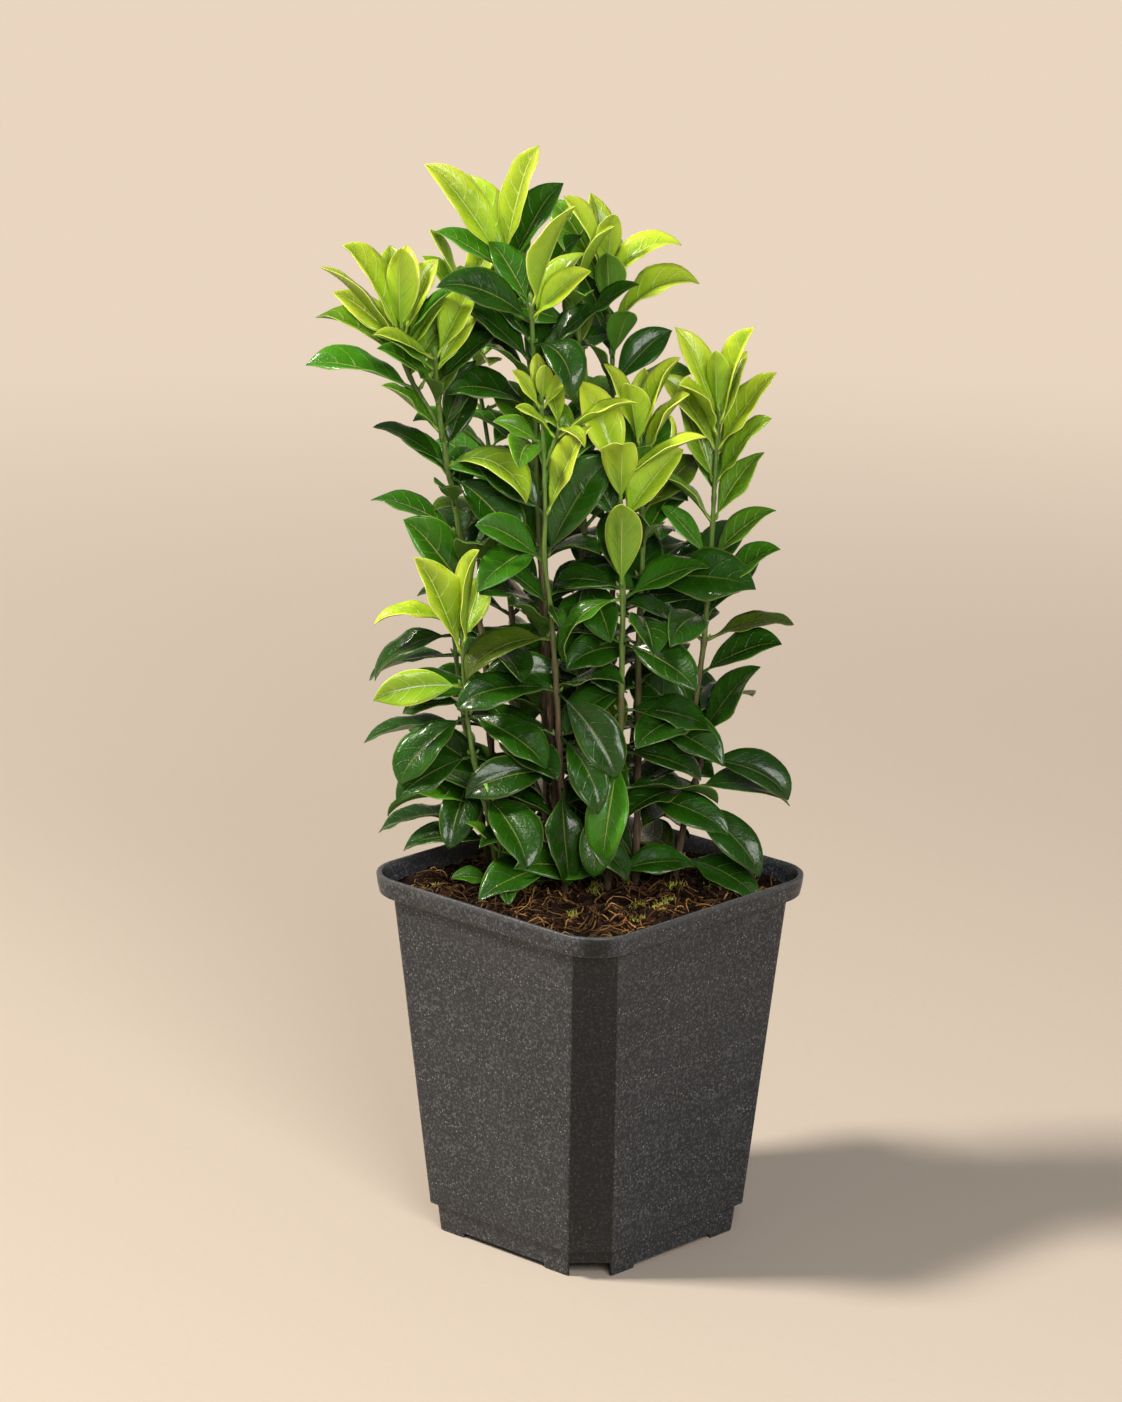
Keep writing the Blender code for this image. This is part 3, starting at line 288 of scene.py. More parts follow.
        leaves="""
            run 148 276 8 60; 288 10 / 25 54 20 30 0.9 / 24 44 20 24 0.9;
            299 100 / 26 56 15 0 0.8 / 22 56 20 0 0.8; 308 190 / 27 66 8 40 0.7 / 26 64 10 30 0.8;
            314 100 / 27 68 8 0 0.5 / 22 70 8 0 0.5; 319 10 / 29 74 6 30 0.3 / 27 72 6 30 0.3
        """,
    ),
    "back_right": dict(
        axis=((7, 19, 96), (6.5, 19, 200), (5.5, 18, 280), (5, 17, 300), (3.2, 16, 314), (2.2, 16, 323)),
        radius=(1.6, 0.8),
        leaves="""
            run 142 276 8 20; 286 25 / 26 50 20 30 0.9 / 25 50 20 30 0.8;
            296 115 / 26 56 15 0 0.8 / 22 60 15 0 0.7; 304 -4 / 34 64 66 30 0.25 / 34 64 12 30 0.85;
            311 90 / 28 66 12 0 0.4 / 24 70 10 0 0.5; 317 4 / 31 74 76 30 0.1 / 36 70 14 30 0.5;
            321.5 110 / 28 76 8 0 0.1 / 24 78 6 0 0.1; 322.5 195 / 30 72 10 30 0.1
        """,
    ),
    "inner_right": dict(
        axis=((15, 5, 96), (15.5, 5, 150), (15, 4, 203), (15.8, 4, 226), (15.5, 3, 250), (13.8, 2, 274)),
        radius=(1.7, 0.9),
        leaves="""
            123 -24 / 38 26 20 50 0.6 / 32 12 25 20; 137 60 / 33 14 30 0;
            150 160 / 33 8 30 20 / 32 4 30 30; 163 -9 / 38 55 32 24 0.8; 163.5 95 / 33 24 30 0;
            176 175 / 33 14 30 30 / 32 10 30 30; 188 60 / 33 30 30 0 / 30 4 40 20;
            200 195 / 33 -14 50 46 0.95 / 31 34 30 32 0.95; 212 118 / 33 36 30 0 / 30 26 40 10;
            225 -12 / 39 47 14 56 1.0 / 29 36 30 42 0.95; 236 60 / 29 48 25 0 / 26 44 30 0;
            247 165 / 27 54 20 30 0.8 / 27 52 20 30 0.8; 256 70 / 26 60 15 10 0.6 / 24 60 20 0 0.5;
            264 -22 / 31 56 14 50 0.1 / 27 62 15 30 0.5; 269.5 70 / 25 72 8 0 0.2 / 24 74 8 0 0.2;
            273 -18 / 30 70 6 46 0.1 / 25 70 8 26 0.1
        """,
    ),
    "rear_left": dict(
        axis=((-17, 27, 96), (-21, 29, 150), (-29, 29, 220), (-37, 25, 275), (-43.5, 22, 313)),
        radius=(1.5, 0.8),
        leaves="""
            run 134 290 12 80; 299 100 / 27 62 15 0 0.5 / 24 60 15 0 0.5;
            306 10 / 29 66 20 30 0.3 / 25 64 15 30 0.4; 312 30 / 33 70 30 40 0.05 / 26 70 10 20 0.3
        """,
    ),
    "rear_right": dict(
        axis=((10, 30, 96), (13, 32, 150), (18, 36, 210), (21, 38, 248)),
        radius=(1.5, 0.8),
        leaves="""
            run 136 232 7 50; 240 170 / 27 56 10 10 0.2 / 26 56 10 10 0.2;
            246 80 / 25 68 5 0 0.05 / 24 68 5 0 0.05
        """,
    ),
    "sprout": dict(
        axis=((-29, -7, 96), (-30, -8, 118), (-30, -9, 136)),
        radius=(1.2, 0.7),
        leaves="""
            123 200 / 15 20 20 30 0.7 / 15 10 30 20 0.7; 129 -75 / 17 -20 30 0 0.6 / 15 35 20 0 0.6;
            134 195 / 15 52 12 30 0.5 / 17 50 12 30 0.5
        """,
    ),
}
# Leaves are set in this order, and a leaf that would touch one already there turns aside.
GROWING_ORDER = ("front_left", "front_right", "right", "low_left", "left", "middle", "tall", "inner_right",
                 "far_left", "back_right", "back_middle", "sprout", "rear_left", "rear_right")
# How far a leaf may turn and rise aside, in degrees, and how much it may shrink to find room.
SIDESTEPS = sorted(
    ((turn, rise) for turn in range(-49, 50, 7) for rise in range(-42, 43, 7)),
    key=lambda step: (abs(step[0]) + abs(step[1]), step),
)
SHRINK = (1.0, 0.85, 0.7)
# The side that blades turn their upper faces to.
LIGHT_SIDE = Vector((0.3, -1.0, 0.0)).normalized()
UP = Vector((0.0, 0.0, 1.0))


# ---- growing ----
def neck_height():
    """Where the body's inside ends and the rim's wider inside begins."""
    return POT_HEIGHT - RIM_BAND - 2 * RIM_LEAN


def soil_height(x, y, share):
    """The uneven surface. It is lower at the wall, most of all in the corners at the plant's two sides."""
    wave = SWELL_SHARES[0] * math.sin(x / SOIL_SWELLS[0] + SWELL_SHIFT) * math.cos(y / SOIL_SWELLS[1])
    wave += SWELL_SHARES[1] * math.sin((x + y) / SOIL_SWELLS[2])
    wave += SWELL_SHARES[2] * math.cos(y / SOIL_SWELLS[3])
    corner = max(0.0, abs(x + y) / (2 * SOIL_EDGE_HALF) - SOIL_CORNER_FROM)
    edge = share ** 6
    height = SOIL_TOP + SOIL_RELIEF * wave * (1.0 - 0.6 * edge)
    return height - SOIL_EDGE_DROP * edge - SOIL_CORNER_DROP * corner


def loft(rings):
    """(points, faces) of a closed skin through rings of one size. The last ring may be a single point."""
    points = []
    faces = []
    starts = []
    for ring in rings:
        starts.append(len(points))
        points += ring
    sides = len(rings[0])
    for high, start, end in zip(rings[1:], starts, starts[1:]):
        for i in range(sides):
            j = (i + 1) % sides
            if len(high) == 1:
                faces.append((start + i, start + j, end))
            else:
                faces.append((start + i, start + j, end + j, end + i))
    faces.append(tuple(reversed(range(sides))))
    if len(rings[-1]) > 1:
        faces.append(tuple(starts[-1] + i for i in range(len(rings[-1]))))
    return points, faces


def smooth_path(points, spacing):
    """Points at about this spacing on a smooth curve through the given ones."""
    ends = [points[0]] + list(points) + [points[-1]]
    path = []
    for before, start, end, after in zip(ends, ends[1:], ends[2:], ends[3:]):
        steps = max(1, round((end - start).length / spacing))
        for i in range(steps):
            t = i / steps
            path.append(0.5 * (2 * start + (end - before) * t
                               + (2 * before - 5 * start + 4 * end - after) * t ** 2
                               + (3 * start - before - 3 * end + after) * t ** 3))
    return path + [points[-1]]


def in_world(point):
    """A point of the plant's own axes, turned to the pot's."""
    turn = math.radians(PLANT_TURN)
    right, away, up = point
    return Vector((
        right * math.cos(turn) - away * math.sin(turn), right * math.sin(turn) + away * math.cos(turn), up
    ))


def along_path(path, i):
    """The path's direction at its point i."""
    return (path[min(i + 1, len(path) - 1)] - path[max(i - 1, 0)]).normalized()


def square_to(along):
    """Two directions square to this one and to each other."""
    first = along.cross(Vector((0.0, 1.0, 0.0))).normalized()
    return first, along.cross(first)


def stem_rings(path, widths, extra=0.0):
    """Rings square to the path, this much wider than the stem and this much longer at both ends."""
    rings = []
    for i, (point, radius) in enumerate(zip(path, widths)):
        along = along_path(path, i)
        first, second = square_to(along)
        middle = point + along * (extra * ((i == len(path) - 1) - (i == 0)))
        rings.append([
            middle + (radius + extra) * (first * math.cos(a) + second * math.sin(a))
            for a in (math.tau * k / STEM_SIDES for k in range(STEM_SIDES))
        ])
    return rings


def stem_plan(name, axis, radius):
    """A stem's path in the pot's axes, with its radius at each point."""
    path = smooth_path([in_world(p) for p in axis], STEM_STEP)
    widths = []
    for i in range(len(path)):
        widths.append(radius[0] + (radius[1] - radius[0]) * i / (len(path) - 1))
    return dict(name=name, path=path, widths=widths)


def stem_at(plan, height):
    """The stem's middle and radius at this height."""
    path = plan["path"]
    for i, (low, high) in enumerate(zip(path, path[1:])):
        if height <= high.z or i == len(path) - 2:
            share = min(max((height - low.z) / (high.z - low.z), 0.0), 1.0)
            width = plan["widths"][i] + (plan["widths"][i + 1] - plan["widths"][i]) * share
            return low.lerp(high, share), width


def blade_half(s, point=BLADE_POINT):
    """Half width along a blade from its foot at 0 to its tip at 1, as a share of the widest."""
    if s <= 0.0 or s >= 1.0:
        return 0.0
    widest = BLADE_WEDGE / (BLADE_WEDGE + point)
    return (s / widest) ** BLADE_WEDGE * ((1.0 - s) / (1.0 - widest)) ** point


def heading_of(turn):
    """The level direction of a turn in the plant's own axes."""
    return in_world((math.cos(math.radians(turn)), math.sin(math.radians(turn)), 0.0))


def climbing(heading, up):
    return heading * math.cos(up) + UP * math.sin(up)


def blade_axes(heading, up, face):
    """(along, across, normal) of a blade that climbs by up and is rolled to the light by face."""
    along = climbing(heading, up)
    normal = UP * math.cos(up) - heading * math.sin(up)
    across = along.cross(normal)
    tilt = math.radians(face) * (1.0 if across.dot(in_world(LIGHT_SIDE)) > 0.0 else -1.0)
    normal = normal * math.cos(tilt) + across * math.sin(tilt)
    return along, along.cross(normal), normal


def leaf_rings(base, out, turn, rise, leaf, segments, root=0.0, extra=0.0):
    """Rings of a leaf that starts this far out from the stem's middle at base.

    root lengthens the stalk back into the stem, and extra makes the leaf fatter all round.
    """
    length, _, bend, face = leaf[:4]
    heading = heading_of(turn)
    point = base + heading * out
    rings = []
    before = 0.0
    for s in (0.0,) + BLADE_STATIONS[segments]:
        up = math.radians(rise - bend * (s + before) / 2)
        if s <= PETIOLE:
            up = min(up, math.radians(STALK_RISE))
        point = point + climbing(heading, up) * ((s - before) * length)
        before = s
        along, across, normal = blade_axes(heading, math.radians(rise - bend * s), face)
        middle = point - heading * (root if s == 0.0 else 0.0)
        if s == 1.0:
            rings.append([middle + along * extra])
            continue
        if s <= PETIOLE:
            half = PETIOLE_WIDTH / 2
            fold = 0.0
            thick = PETIOLE_WIDTH / 2 + extra
        else:
            half = length * LEAF_WIDTH / 2 * blade_half((s - PETIOLE) / (1.0 - PETIOLE))
            fold = LEAF_FOLD * half
            thick = LEAF_THICK / 2 + extra
        side = across * (half + extra)
        raised = middle + normal * fold
        rings.append([raised + side, middle + normal * thick, raised - side, middle - normal * thick])
    return rings


def tree_of(points, faces):
    return BVHTree.FromPolygons([tuple(p) for p in points], faces)


def box_of(points):
    """The lowest and then the highest x, y and z."""
    sides = list(zip(*points))
    return [min(side) for side in sides] + [max(side) for side in sides]


def boxes_meet(a, b):
    return (a[0] <= b[3] and b[0] <= a[3] and a[1] <= b[4] and b[1] <= a[4] and a[2] <= b[5] and b[2] <= a[5])


class Crowd:
    """What already stands in the pot, to keep each new leaf clear of it."""

    def __init__(self):
        self.placed = []

    def add(self, points, faces, owner=""):
        self.placed.append((box_of(points), tree_of(points, faces), owner))

    def is_free(self, points, faces, but_not=()):
        box = box_of(points)
        tree = None
        for other_box, other_tree, owner in self.placed:
            if owner in but_not or not boxes_meet(box, other_box):
                continue
            tree = tree or tree_of(points, faces)
            if tree.overlap(other_tree):
                return False
        return True


def place_leaf(crowd, plan, row, is_own):
    """Where one leaf goes: the nearest free turn and rise, or None if there is no room for it.

    A leaf of its own stays clear of everything. One that is joined to its stem runs on into it.
    """
    height, turn, leaf = row
    base, radius = stem_at(plan, height)
    out = radius + STALK_SET_OFF
    segments = OWN_LEAF_SEGMENTS if is_own else JOINED_LEAF_SEGMENTS
    same_stem = plan["name"]
    joined = same_stem + "_joined"
    for shrink in SHRINK:
        smaller = (leaf[0] * shrink,) + tuple(leaf[1:])
        for turned, raised in SIDESTEPS:
            place = (base, out, turn + turned, leaf[1] + raised, smaller)
            fat = leaf_rings(*place, segments, extra=LEAF_CLEARANCE)
            if not crowd.is_free(*loft(fat), but_not=(same_stem,)):
                continue
            real = loft(leaf_rings(*place, segments))
            if not crowd.is_free(*real):
                continue
            if is_own:
                crowd.add(*real)
                return place
            rooted = loft(leaf_rings(*place, segments, root=out, extra=GAP))
            if crowd.is_free(*rooted, but_not=(same_stem, joined)):
                crowd.add(*real, owner=joined)
                crowd.add(*loft(leaf_rings(*place, segments, root=out)), owner=same_stem)
                return place
    return None


def numbered(stem_name, rows):
    """(leaf's name, stem's name, row) of one stem's leaves from the top down."""
    in_order = sorted(rows, key=lambda row: -row[0])
    return [(f"{stem_name}_leaf_{i + 1:02d}", stem_name, row) for i, row in enumerate(in_order)]


def all_leaf_rows():
    """The plans of the stems and branches by name, and every leaf in growing order."""
    plans = {}
    rows = []
    for name in GROWING_ORDER:
        stem = STEMS[name]
        plans[name] = stem_plan(name, stem["axis"], stem["radius"])
        rows += numbered(name, leaf_rows(stem["leaves"]))
        if "branch" in stem:
            plans[name + "_branch"] = stem_plan(name, stem["branch"], stem["branch_radius"])
            rows += numbered(name + "_branch", leaf_rows(stem["branch_leaves"]))
    return plans, rows


def largest_leaves(rows):
    """The names of the leaves that are pieces of their own. The rest are one with their stem."""
    by_length = sorted(rows, key=lambda entry: -entry[2][2][0])
    return {entry[0] for entry in by_length[:MOST_OWN_LEAVES]}


def leaf_age(row):
    """From 0, new, to 1, old. Without a stated age a leaf is as old as its height says."""
    height, _, leaf = row
    by_height = OLDEST - (height - OLD_UP_TO) / AGE_SPAN
    return leaf[4] if len(leaf) > 4 else max(YOUNGEST, min(OLDEST, by_height))


# ---- settings that a user would change ----
def colour_setting(name, description, default):
    return FloatVectorProperty(name=name, description=description, subtype="COLOR", size=3,
                               min=0.0, max=1.0, default=default)


def length_setting(name, description, default):
    return FloatProperty(name=name, description=description, unit="LENGTH", min=0.0, default=default)


def share_setting(name, description, default):
    return FloatProperty(name=name, description=description, min=0.0, max=1.0, default=default)


def count_setting(name, description, default):
    return IntProperty(name=name, description=description, min=0, default=default)


def power_setting(name, description, default):
    return FloatProperty(name=name, description=description, unit="POWER", min=0.0, default=default)


class SpindlePotSettings(PropertyGroup):
    plastic: colour_setting("Plastic", "Colour of the recycled plastic", (0.0205, 0.022, 0.0248))
    speck: colour_setting("Specks", "Colour of the light grains in the plastic", (0.3, 0.3, 0.3))
    roughness: share_setting("Roughness", "How dull the plastic is", 0.38)
    lip: length_setting("Lip", "Radius of the rim's rolled edges", 0.0007)


class SpindleSoilSettings(PropertyGroup):
    peat: colour_setting("Peat", "Colour of the moist peat", (0.011, 0.0045, 0.0022))
    fibre: colour_setting("Fibre", "Colour of the straw and root fibres", (0.5, 0.25, 0.085))
    moss: colour_setting("Moss", "Colour of the moss", (0.26, 0.27, 0.025))
    crumbs: count_setting("Crumbs", "How many crumbs of peat and bark lie loose", 1700)
    fibres: count_setting("Fibres", "How many fibres lie on the surface", 800)
    tufts: count_setting("Tufts", "How many tufts of moss grow on the surface", 26)


class SpindleStemSettings(PropertyGroup):
    green: colour_setting("Green stem", "Colour of this year's growth", (0.12, 0.22, 0.03))
    bark: colour_setting("Bark", "Colour of the older, lower stem", (0.06, 0.038, 0.02))
    node_swell: share_setting("Joint swelling", "How much wider a stem is at a leaf pair", 0.28)


class SpindleLeafSettings(PropertyGroup):
    old: colour_setting("Old leaf", "Colour of the oldest leaves", (0.0088, 0.043, 0.0015))
    grown: colour_setting("Grown leaf", "Colour of the grown leaves", (0.05, 0.22, 0.006))
    young: colour_setting("Young leaf", "Colour of the leaves at the stem tips", (0.3, 0.5, 0.012))
    newest: colour_setting("Newest leaf", "Colour of the newest leaf tips", (0.48, 0.6, 0.03))
    margin: colour_setting("Margin", "Colour of the thin pale edge", (0.76, 0.78, 0.22))
    rib: colour_setting("Midrib", "Colour of the midrib", (0.62, 0.7, 0.18))
    beneath: colour_setting("Underside", "Colour that the undersides lean to", (0.16, 0.3, 0.05))
    thickness: length_setting("Thickness", "Thickness of a blade", 0.0005)
    glow: share_setting("Glow", "How much light passes through a blade", 0.3)
    roughness: share_setting("Roughness", "How dull the upper side is", 0.2)


class SpindleStageSettings(PropertyGroup):
    floor: colour_setting("Floor", "Colour of the floor", (0.53, 0.455, 0.385))
    backdrop: colour_setting("Backdrop", "Colour that the floor fades to, far away", (0.82, 0.67, 0.53))
    key: power_setting("Key light", "Power of the small lamp at the upper left", 92.0)
    fill: power_setting("Fill light", "Power of the large lamp in front", 27.0)
    sky: share_setting("Sky", "Brightness of the light from all round", 0.2)


# ---- meshes ----
def new_object(name, bm, materials, smooth=True):
    """An object of this mesh in the scene, at the origin."""
    mesh = bpy.data.meshes.new(name)
    bm.to_mesh(mesh)
    bm.free()
    for material in materials:
        mesh.materials.append(material)
    if smooth:
        mesh.shade_smooth()
    made = bpy.data.objects.new(name, mesh)
    bpy.context.scene.collection.objects.link(made)
    return made


def to_frame(point):
    """A point of the growing part, in the frame's metres."""
    return Vector((point[0] + POT_AXIS[0], point[1] + POT_AXIS[1], point[2])) * MM


def from_frame(point):
    """A point of the frame, in the growing part's millimetres."""
    return Vector((point[0] / MM - POT_AXIS[0], point[1] / MM - POT_AXIS[1], point[2] / MM))


def template_mesh(make, **settings):
    """A small mesh to copy, from one operator's shape."""
    bm = bmesh.new()
    make(bm, **settings)
    mesh = bpy.data.meshes.new("template")
    bm.to_mesh(mesh)
    bm.free()
    return mesh


def verts_of(geometry):
    return [item for item in geometry if isinstance(item, bmesh.types.BMVert)]


def strand_template(bm, steps):
    """A closed four-sided cylinder of radius 1 from 0 to 1 along Z, in even steps."""
    bmesh.ops.create_circle(bm, cap_ends=True, segments=4, radius=1.0)
    top = bm.faces[:]
    for _ in range(steps):
        made = bmesh.ops.extrude_face_region(bm, geom=top)["geom"]
        top = [item for item in made if isinstance(item, bmesh.types.BMFace)]
        bmesh.ops.translate(bm, vec=(0.0, 0.0, 1.0 / steps), verts=verts_of(made))
    bmesh.ops.contextual_create(bm, geom=[edge for edge in bm.edges if edge.is_boundary])
    bmesh.ops.recalc_face_normals(bm, faces=bm.faces)


def tinted_mesh():
    """An empty mesh whose points carry a tint from 0 to 1."""
    bm = bmesh.new()
    bm.verts.layers.float_color.new("tint")
    return bm


def add_copy(bm, template):
    """The points of one more copy of the template."""
    first = len(bm.verts)
    bm.from_mesh(template)
    bm.verts.ensure_lookup_table()
    return bm.verts[first:]


def add_tinted(bm, template, tint):
    made = add_copy(bm, template)
    layer = bm.verts.layers.float_color["tint"]
    for vert in made:
        vert[layer] = (tint, tint, tint, 1.0)
    return made


def add_ring(bm, points):
    """A closed ring of edges through these points."""
    made = bmesh.ops.create_circle(bm, segments=len(points), radius=1.0)["verts"]
    for vert, point in zip(made, points):
        vert.co = to_frame(point)
    return list({edge for vert in made for edge in vert.link_edges}), made


def add_lofted(bm, rings, caps=(True, True)):
    """A skin through rings of one size, with its ends closed where caps says so."""
    made = [add_ring(bm, ring) for ring in rings]
    for (low, _), (high, _) in zip(made, made[1:]):
        bmesh.ops.bridge_loops(bm, edges=low + high)
    for is_closed, (edges, _) in zip(caps, (made[0], made[-1])):
        if is_closed:
            bmesh.ops.contextual_create(bm, geom=edges)
    return [verts for _, verts in made]


# ---- materials ----
class Shade:
    """A Principled material, or the world round it, and short words for its nodes."""

    def __init__(self, name, world=None):
        self.material = world or bpy.data.materials.new(name)
        self.material.use_nodes = True
        self.tree = self.material.node_tree
        self.surface = self.tree.nodes["Background" if world else "Principled BSDF"]
        self.plain = "Background" if world else "Emission"
        self.output = self.tree.nodes["World Output" if world else "Material Output"]
        self.place = self.node("TexCoord").outputs["Object"]

    def node(self, kind, inputs=(), **settings):
        made = self.tree.nodes.new("ShaderNode" + kind)
        for key, value in settings.items():
            setattr(made, key, value)
        for key, value in dict(inputs).items():
            self.put(made.inputs[key], value)
        return made

    def put(self, socket, value):
        if isinstance(value, bpy.types.NodeSocket):
            self.tree.links.new(value, socket)
        elif socket.type == "RGBA":
            socket.default_value = (*value[:3], 1.0)
        else:
            socket.default_value = value

    def math(self, operation, first, second=0.0, third=0.0):
        return self.node("Math", {0: first, 1: second, 2: third}, operation=operation).outputs[0]

    def times(self, first, second):
        return self.math("MULTIPLY", first, second)

    def line(self, value, slope, start):
        return self.math("MULTIPLY_ADD", value, slope, start)

    def step(self, value, low, high):
        """0 below low, 1 above high and smooth between. With low above high it falls."""
        made = self.node("MapRange", interpolation_type="SMOOTHSTEP", clamp=True)
        for index, number in enumerate((value, low, high, 0.0, 1.0)):
            self.put(made.inputs[index], number)
        return made.outputs[0]

    def mix(self, share, first, second, blend="MIX"):
        made = self.node("Mix", data_type="RGBA", blend_type=blend)
        self.put(made.inputs[0], share)
        self.put(made.inputs[6], first)
        self.put(made.inputs[7], second)
        return made.outputs[2]

    def scaled(self, size):
        """The object's coordinates, stretched."""
        return self.node("Mapping", {"Vector": self.place, "Scale": size}).outputs[0]

    def noise(self, scale, detail=3.0, roughness=0.55, place=None):
        inputs = {"Vector": place or self.place, "Scale": scale, "Detail": detail, "Roughness": roughness}
        return self.node("TexNoise", inputs).outputs["Fac"]

    def cells(self, scale, **settings):
        return self.node("TexVoronoi", {"Vector": self.place, "Scale": scale}, **settings).outputs

    def parts(self, vector):
        return self.node("SeparateXYZ", {0: vector}).outputs

    def channels(self, colour):
        return self.node("SeparateColor", {0: colour}).outputs

    def attribute(self, name):
        return self.channels(self.node("Attribute", attribute_name=name).outputs["Color"])

    def bump(self, height, distance, strength=1.0):
        inputs = {"Height": height, "Distance": distance, "Strength": strength}
        self.put(self.surface.inputs["Normal"], self.node("Bump", inputs).outputs[0])

    def show_plain(self, share, colour):
        """Where share is 1, the camera and mirror rays see this colour, unlit."""
        rays = self.node("LightPath").outputs
        mirrored = self.math("MAXIMUM", rays["Is Glossy Ray"], rays["Is Transmission Ray"])
        seen = self.times(self.math("MAXIMUM", rays["Is Camera Ray"], mirrored), share)
        plain = self.node(self.plain, {0: colour, 1: 1.0}).outputs[0]
        mixed = self.node("MixShader", {0: seen, 1: self.surface.outputs[0], 2: plain})
        self.put(self.output.inputs["Surface"], mixed.outputs[0])

    def finish(self, colour, roughness, specular=0.5):
        self.put(self.surface.inputs["Base Color"], colour)
        self.put(self.surface.inputs["Roughness"], roughness)
        self.surface.inputs["Specular IOR Level"].default_value = specular
        return self.material


def toned(colour, factor):
    """The colour, lighter or darker by this factor."""
    return [min(channel * factor, 1.0) for channel in colour]


DUST = (0.075, 0.06, 0.052)
PIT = (0.006, 0.006, 0.006)
# a painted highlight: the light grey laid along the rim's top lip
PAINTED_LIP_HIGHLIGHT = (0.13, 0.135, 0.14)
PAINTED_FACET_SHADE = (0.003, 0.0035, 0.004)  # painted shade on the smoother corner facets
YELLOWING = (0.11, 0.09, 0.01)


def plastic_material(settings):
    """Charcoal plastic with light grains, faint upright streaks and a browner, dustier top, with a painted
    highlight on the lip and painted shade on the corner facets.
    """
    shade = Shade("recycled_plastic")
    streak = shade.noise(1.0, 2.0, place=shade.scaled((260.0, 260.0, 9.0)))
    cloud = shade.noise(28.0, 4.0)
    colour = shade.mix(shade.step(cloud, 0.3, 0.75), settings.plastic, toned(settings.plastic, 1.28))
    colour = shade.mix(shade.times(shade.step(streak, 0.5, 0.8), 0.35), colour, toned(settings.plastic, 1.5))
    height = shade.parts(shade.place)[2]
    dusty = shade.times(shade.step(height, 0.085, 0.122), shade.step(cloud, 0.4, 0.7))
    colour = shade.mix(shade.times(dusty, 0.4), colour, DUST)
    grains = shade.cells(1000.0)
    size = shade.channels(grains["Color"])
    grain = shade.times(shade.step(grains["Distance"], 0.34, 0.16), shade.step(size[0], 0.45, 0.75))
    colour = shade.mix(shade.times(grain, size[1]), colour, settings.speck)
    mottle = shade.step(shade.noise(1000.0, 3.0, 0.75), 0.49, 0.63)
    colour = shade.mix(shade.times(mottle, 0.8), colour, toned(settings.plastic, 4.6))
    dark = shade.cells(700.0)
    some = shade.step(shade.channels(dark["Color"])[0], 0.75, 0.9)
    pit = shade.times(shade.step(dark["Distance"], 0.3, 0.1), some)
    colour = shade.mix(shade.times(pit, 0.8), colour, PIT)
    # painted highlight: a lighter grey along the rim's top lip
    lip = shade.times(shade.step(height, 0.1225, 0.1245), 0.3)
    colour = shade.mix(lip, colour, PAINTED_LIP_HIGHLIGHT)
    # the flat corner facets were pressed smoother, and get painted shade: a near-black mixed into their
    # colour
    facing = shade.parts(shade.node("NewGeometry").outputs["Normal"])
    slant = shade.math("ABSOLUTE", shade.times(facing[0], facing[1]))
    facet = shade.step(slant, 0.3, 0.49)
    colour = shade.mix(shade.times(facet, 0.75), colour, PAINTED_FACET_SHADE)
    fine = shade.noise(900.0, 3.0)
    shade.bump(shade.math("ADD", fine, shade.times(streak, 0.5)), 0.0003, 0.7)
    worn = shade.line(cloud, 0.16, settings.roughness - 0.08)
    worn = shade.line(facet, -0.12, worn)
    return shade.finish(colour, worn, 0.25)


def peat_material(settings):
    """Moist crumbs, from near black to red-brown. Each crumb has its own tint."""
    shade = Shade("peat")
    tint, _, _ = shade.attribute("tint")
    spots = shade.noise(420.0, 4.0, 0.7)
    colour = shade.mix(shade.step(spots, 0.35, 0.7), toned(settings.peat, 0.45), settings.peat)
    colour = shade.mix(shade.step(tint, 0.35, 1.0), colour, toned(settings.peat, 3.4))
    shade.bump(shade.noise(900.0, 4.0, 0.7), 0.0007)
    return shade.finish(colour, shade.line(spots, 0.25, 0.68), 0.1)


def fibre_material(settings):
    """Straw and roots, from pale straw to red-brown."""
    shade = Shade("fibre")
    tint, _, _ = shade.attribute("tint")
    colour = shade.mix(tint, toned(settings.fibre, 0.03), settings.fibre)
    streaks = shade.noise(1500.0, 2.0)
    colour = shade.mix(shade.times(streaks, 0.4), colour, toned(settings.fibre, 0.5))
    shade.bump(streaks, 0.0002)
    return shade.finish(colour, shade.line(tint, 0.15, 0.6), 0.15)


def moss_material(settings):
    shade = Shade("moss")
    tint, _, _ = shade.attribute("tint")
    colour = shade.mix(tint, toned(settings.moss, 0.5), toned(settings.moss, 1.6))
    grain = shade.noise(1200.0, 2.0)
    shade.bump(grain, 0.0001)
    return shade.finish(colour, shade.line(grain, 0.2, 0.6))


def stem_material(settings):
    """Green above and brown bark below, with upright cracks. The attribute holds each stem's own ripeness."""
    shade = Shade("stem_skin")
    ripe, swell, _ = shade.attribute("ripeness")
    streak = shade.noise(1.0, 3.0, place=shade.scaled((1500.0, 1500.0, 130.0)))
    blotch = shade.noise(170.0, 3.0)
    edge = shade.line(blotch, 0.5, -0.25)
    brown = shade.step(shade.math("ADD", ripe, edge), 0.32, 0.72)
    green = shade.mix(shade.step(streak, 0.4, 0.7), settings.green, toned(settings.green, 0.62))
    bark = shade.mix(shade.step(streak, 0.4, 0.65), settings.bark, toned(settings.bark, 2.3))
    colour = shade.mix(brown, green, bark)
    colour = shade.mix(shade.times(swell, 0.35), colour, toned(settings.bark, 0.5))
    shade.bump(streak, 0.0003)
    return shade.finish(colour, shade.line(brown, 0.25, 0.42))


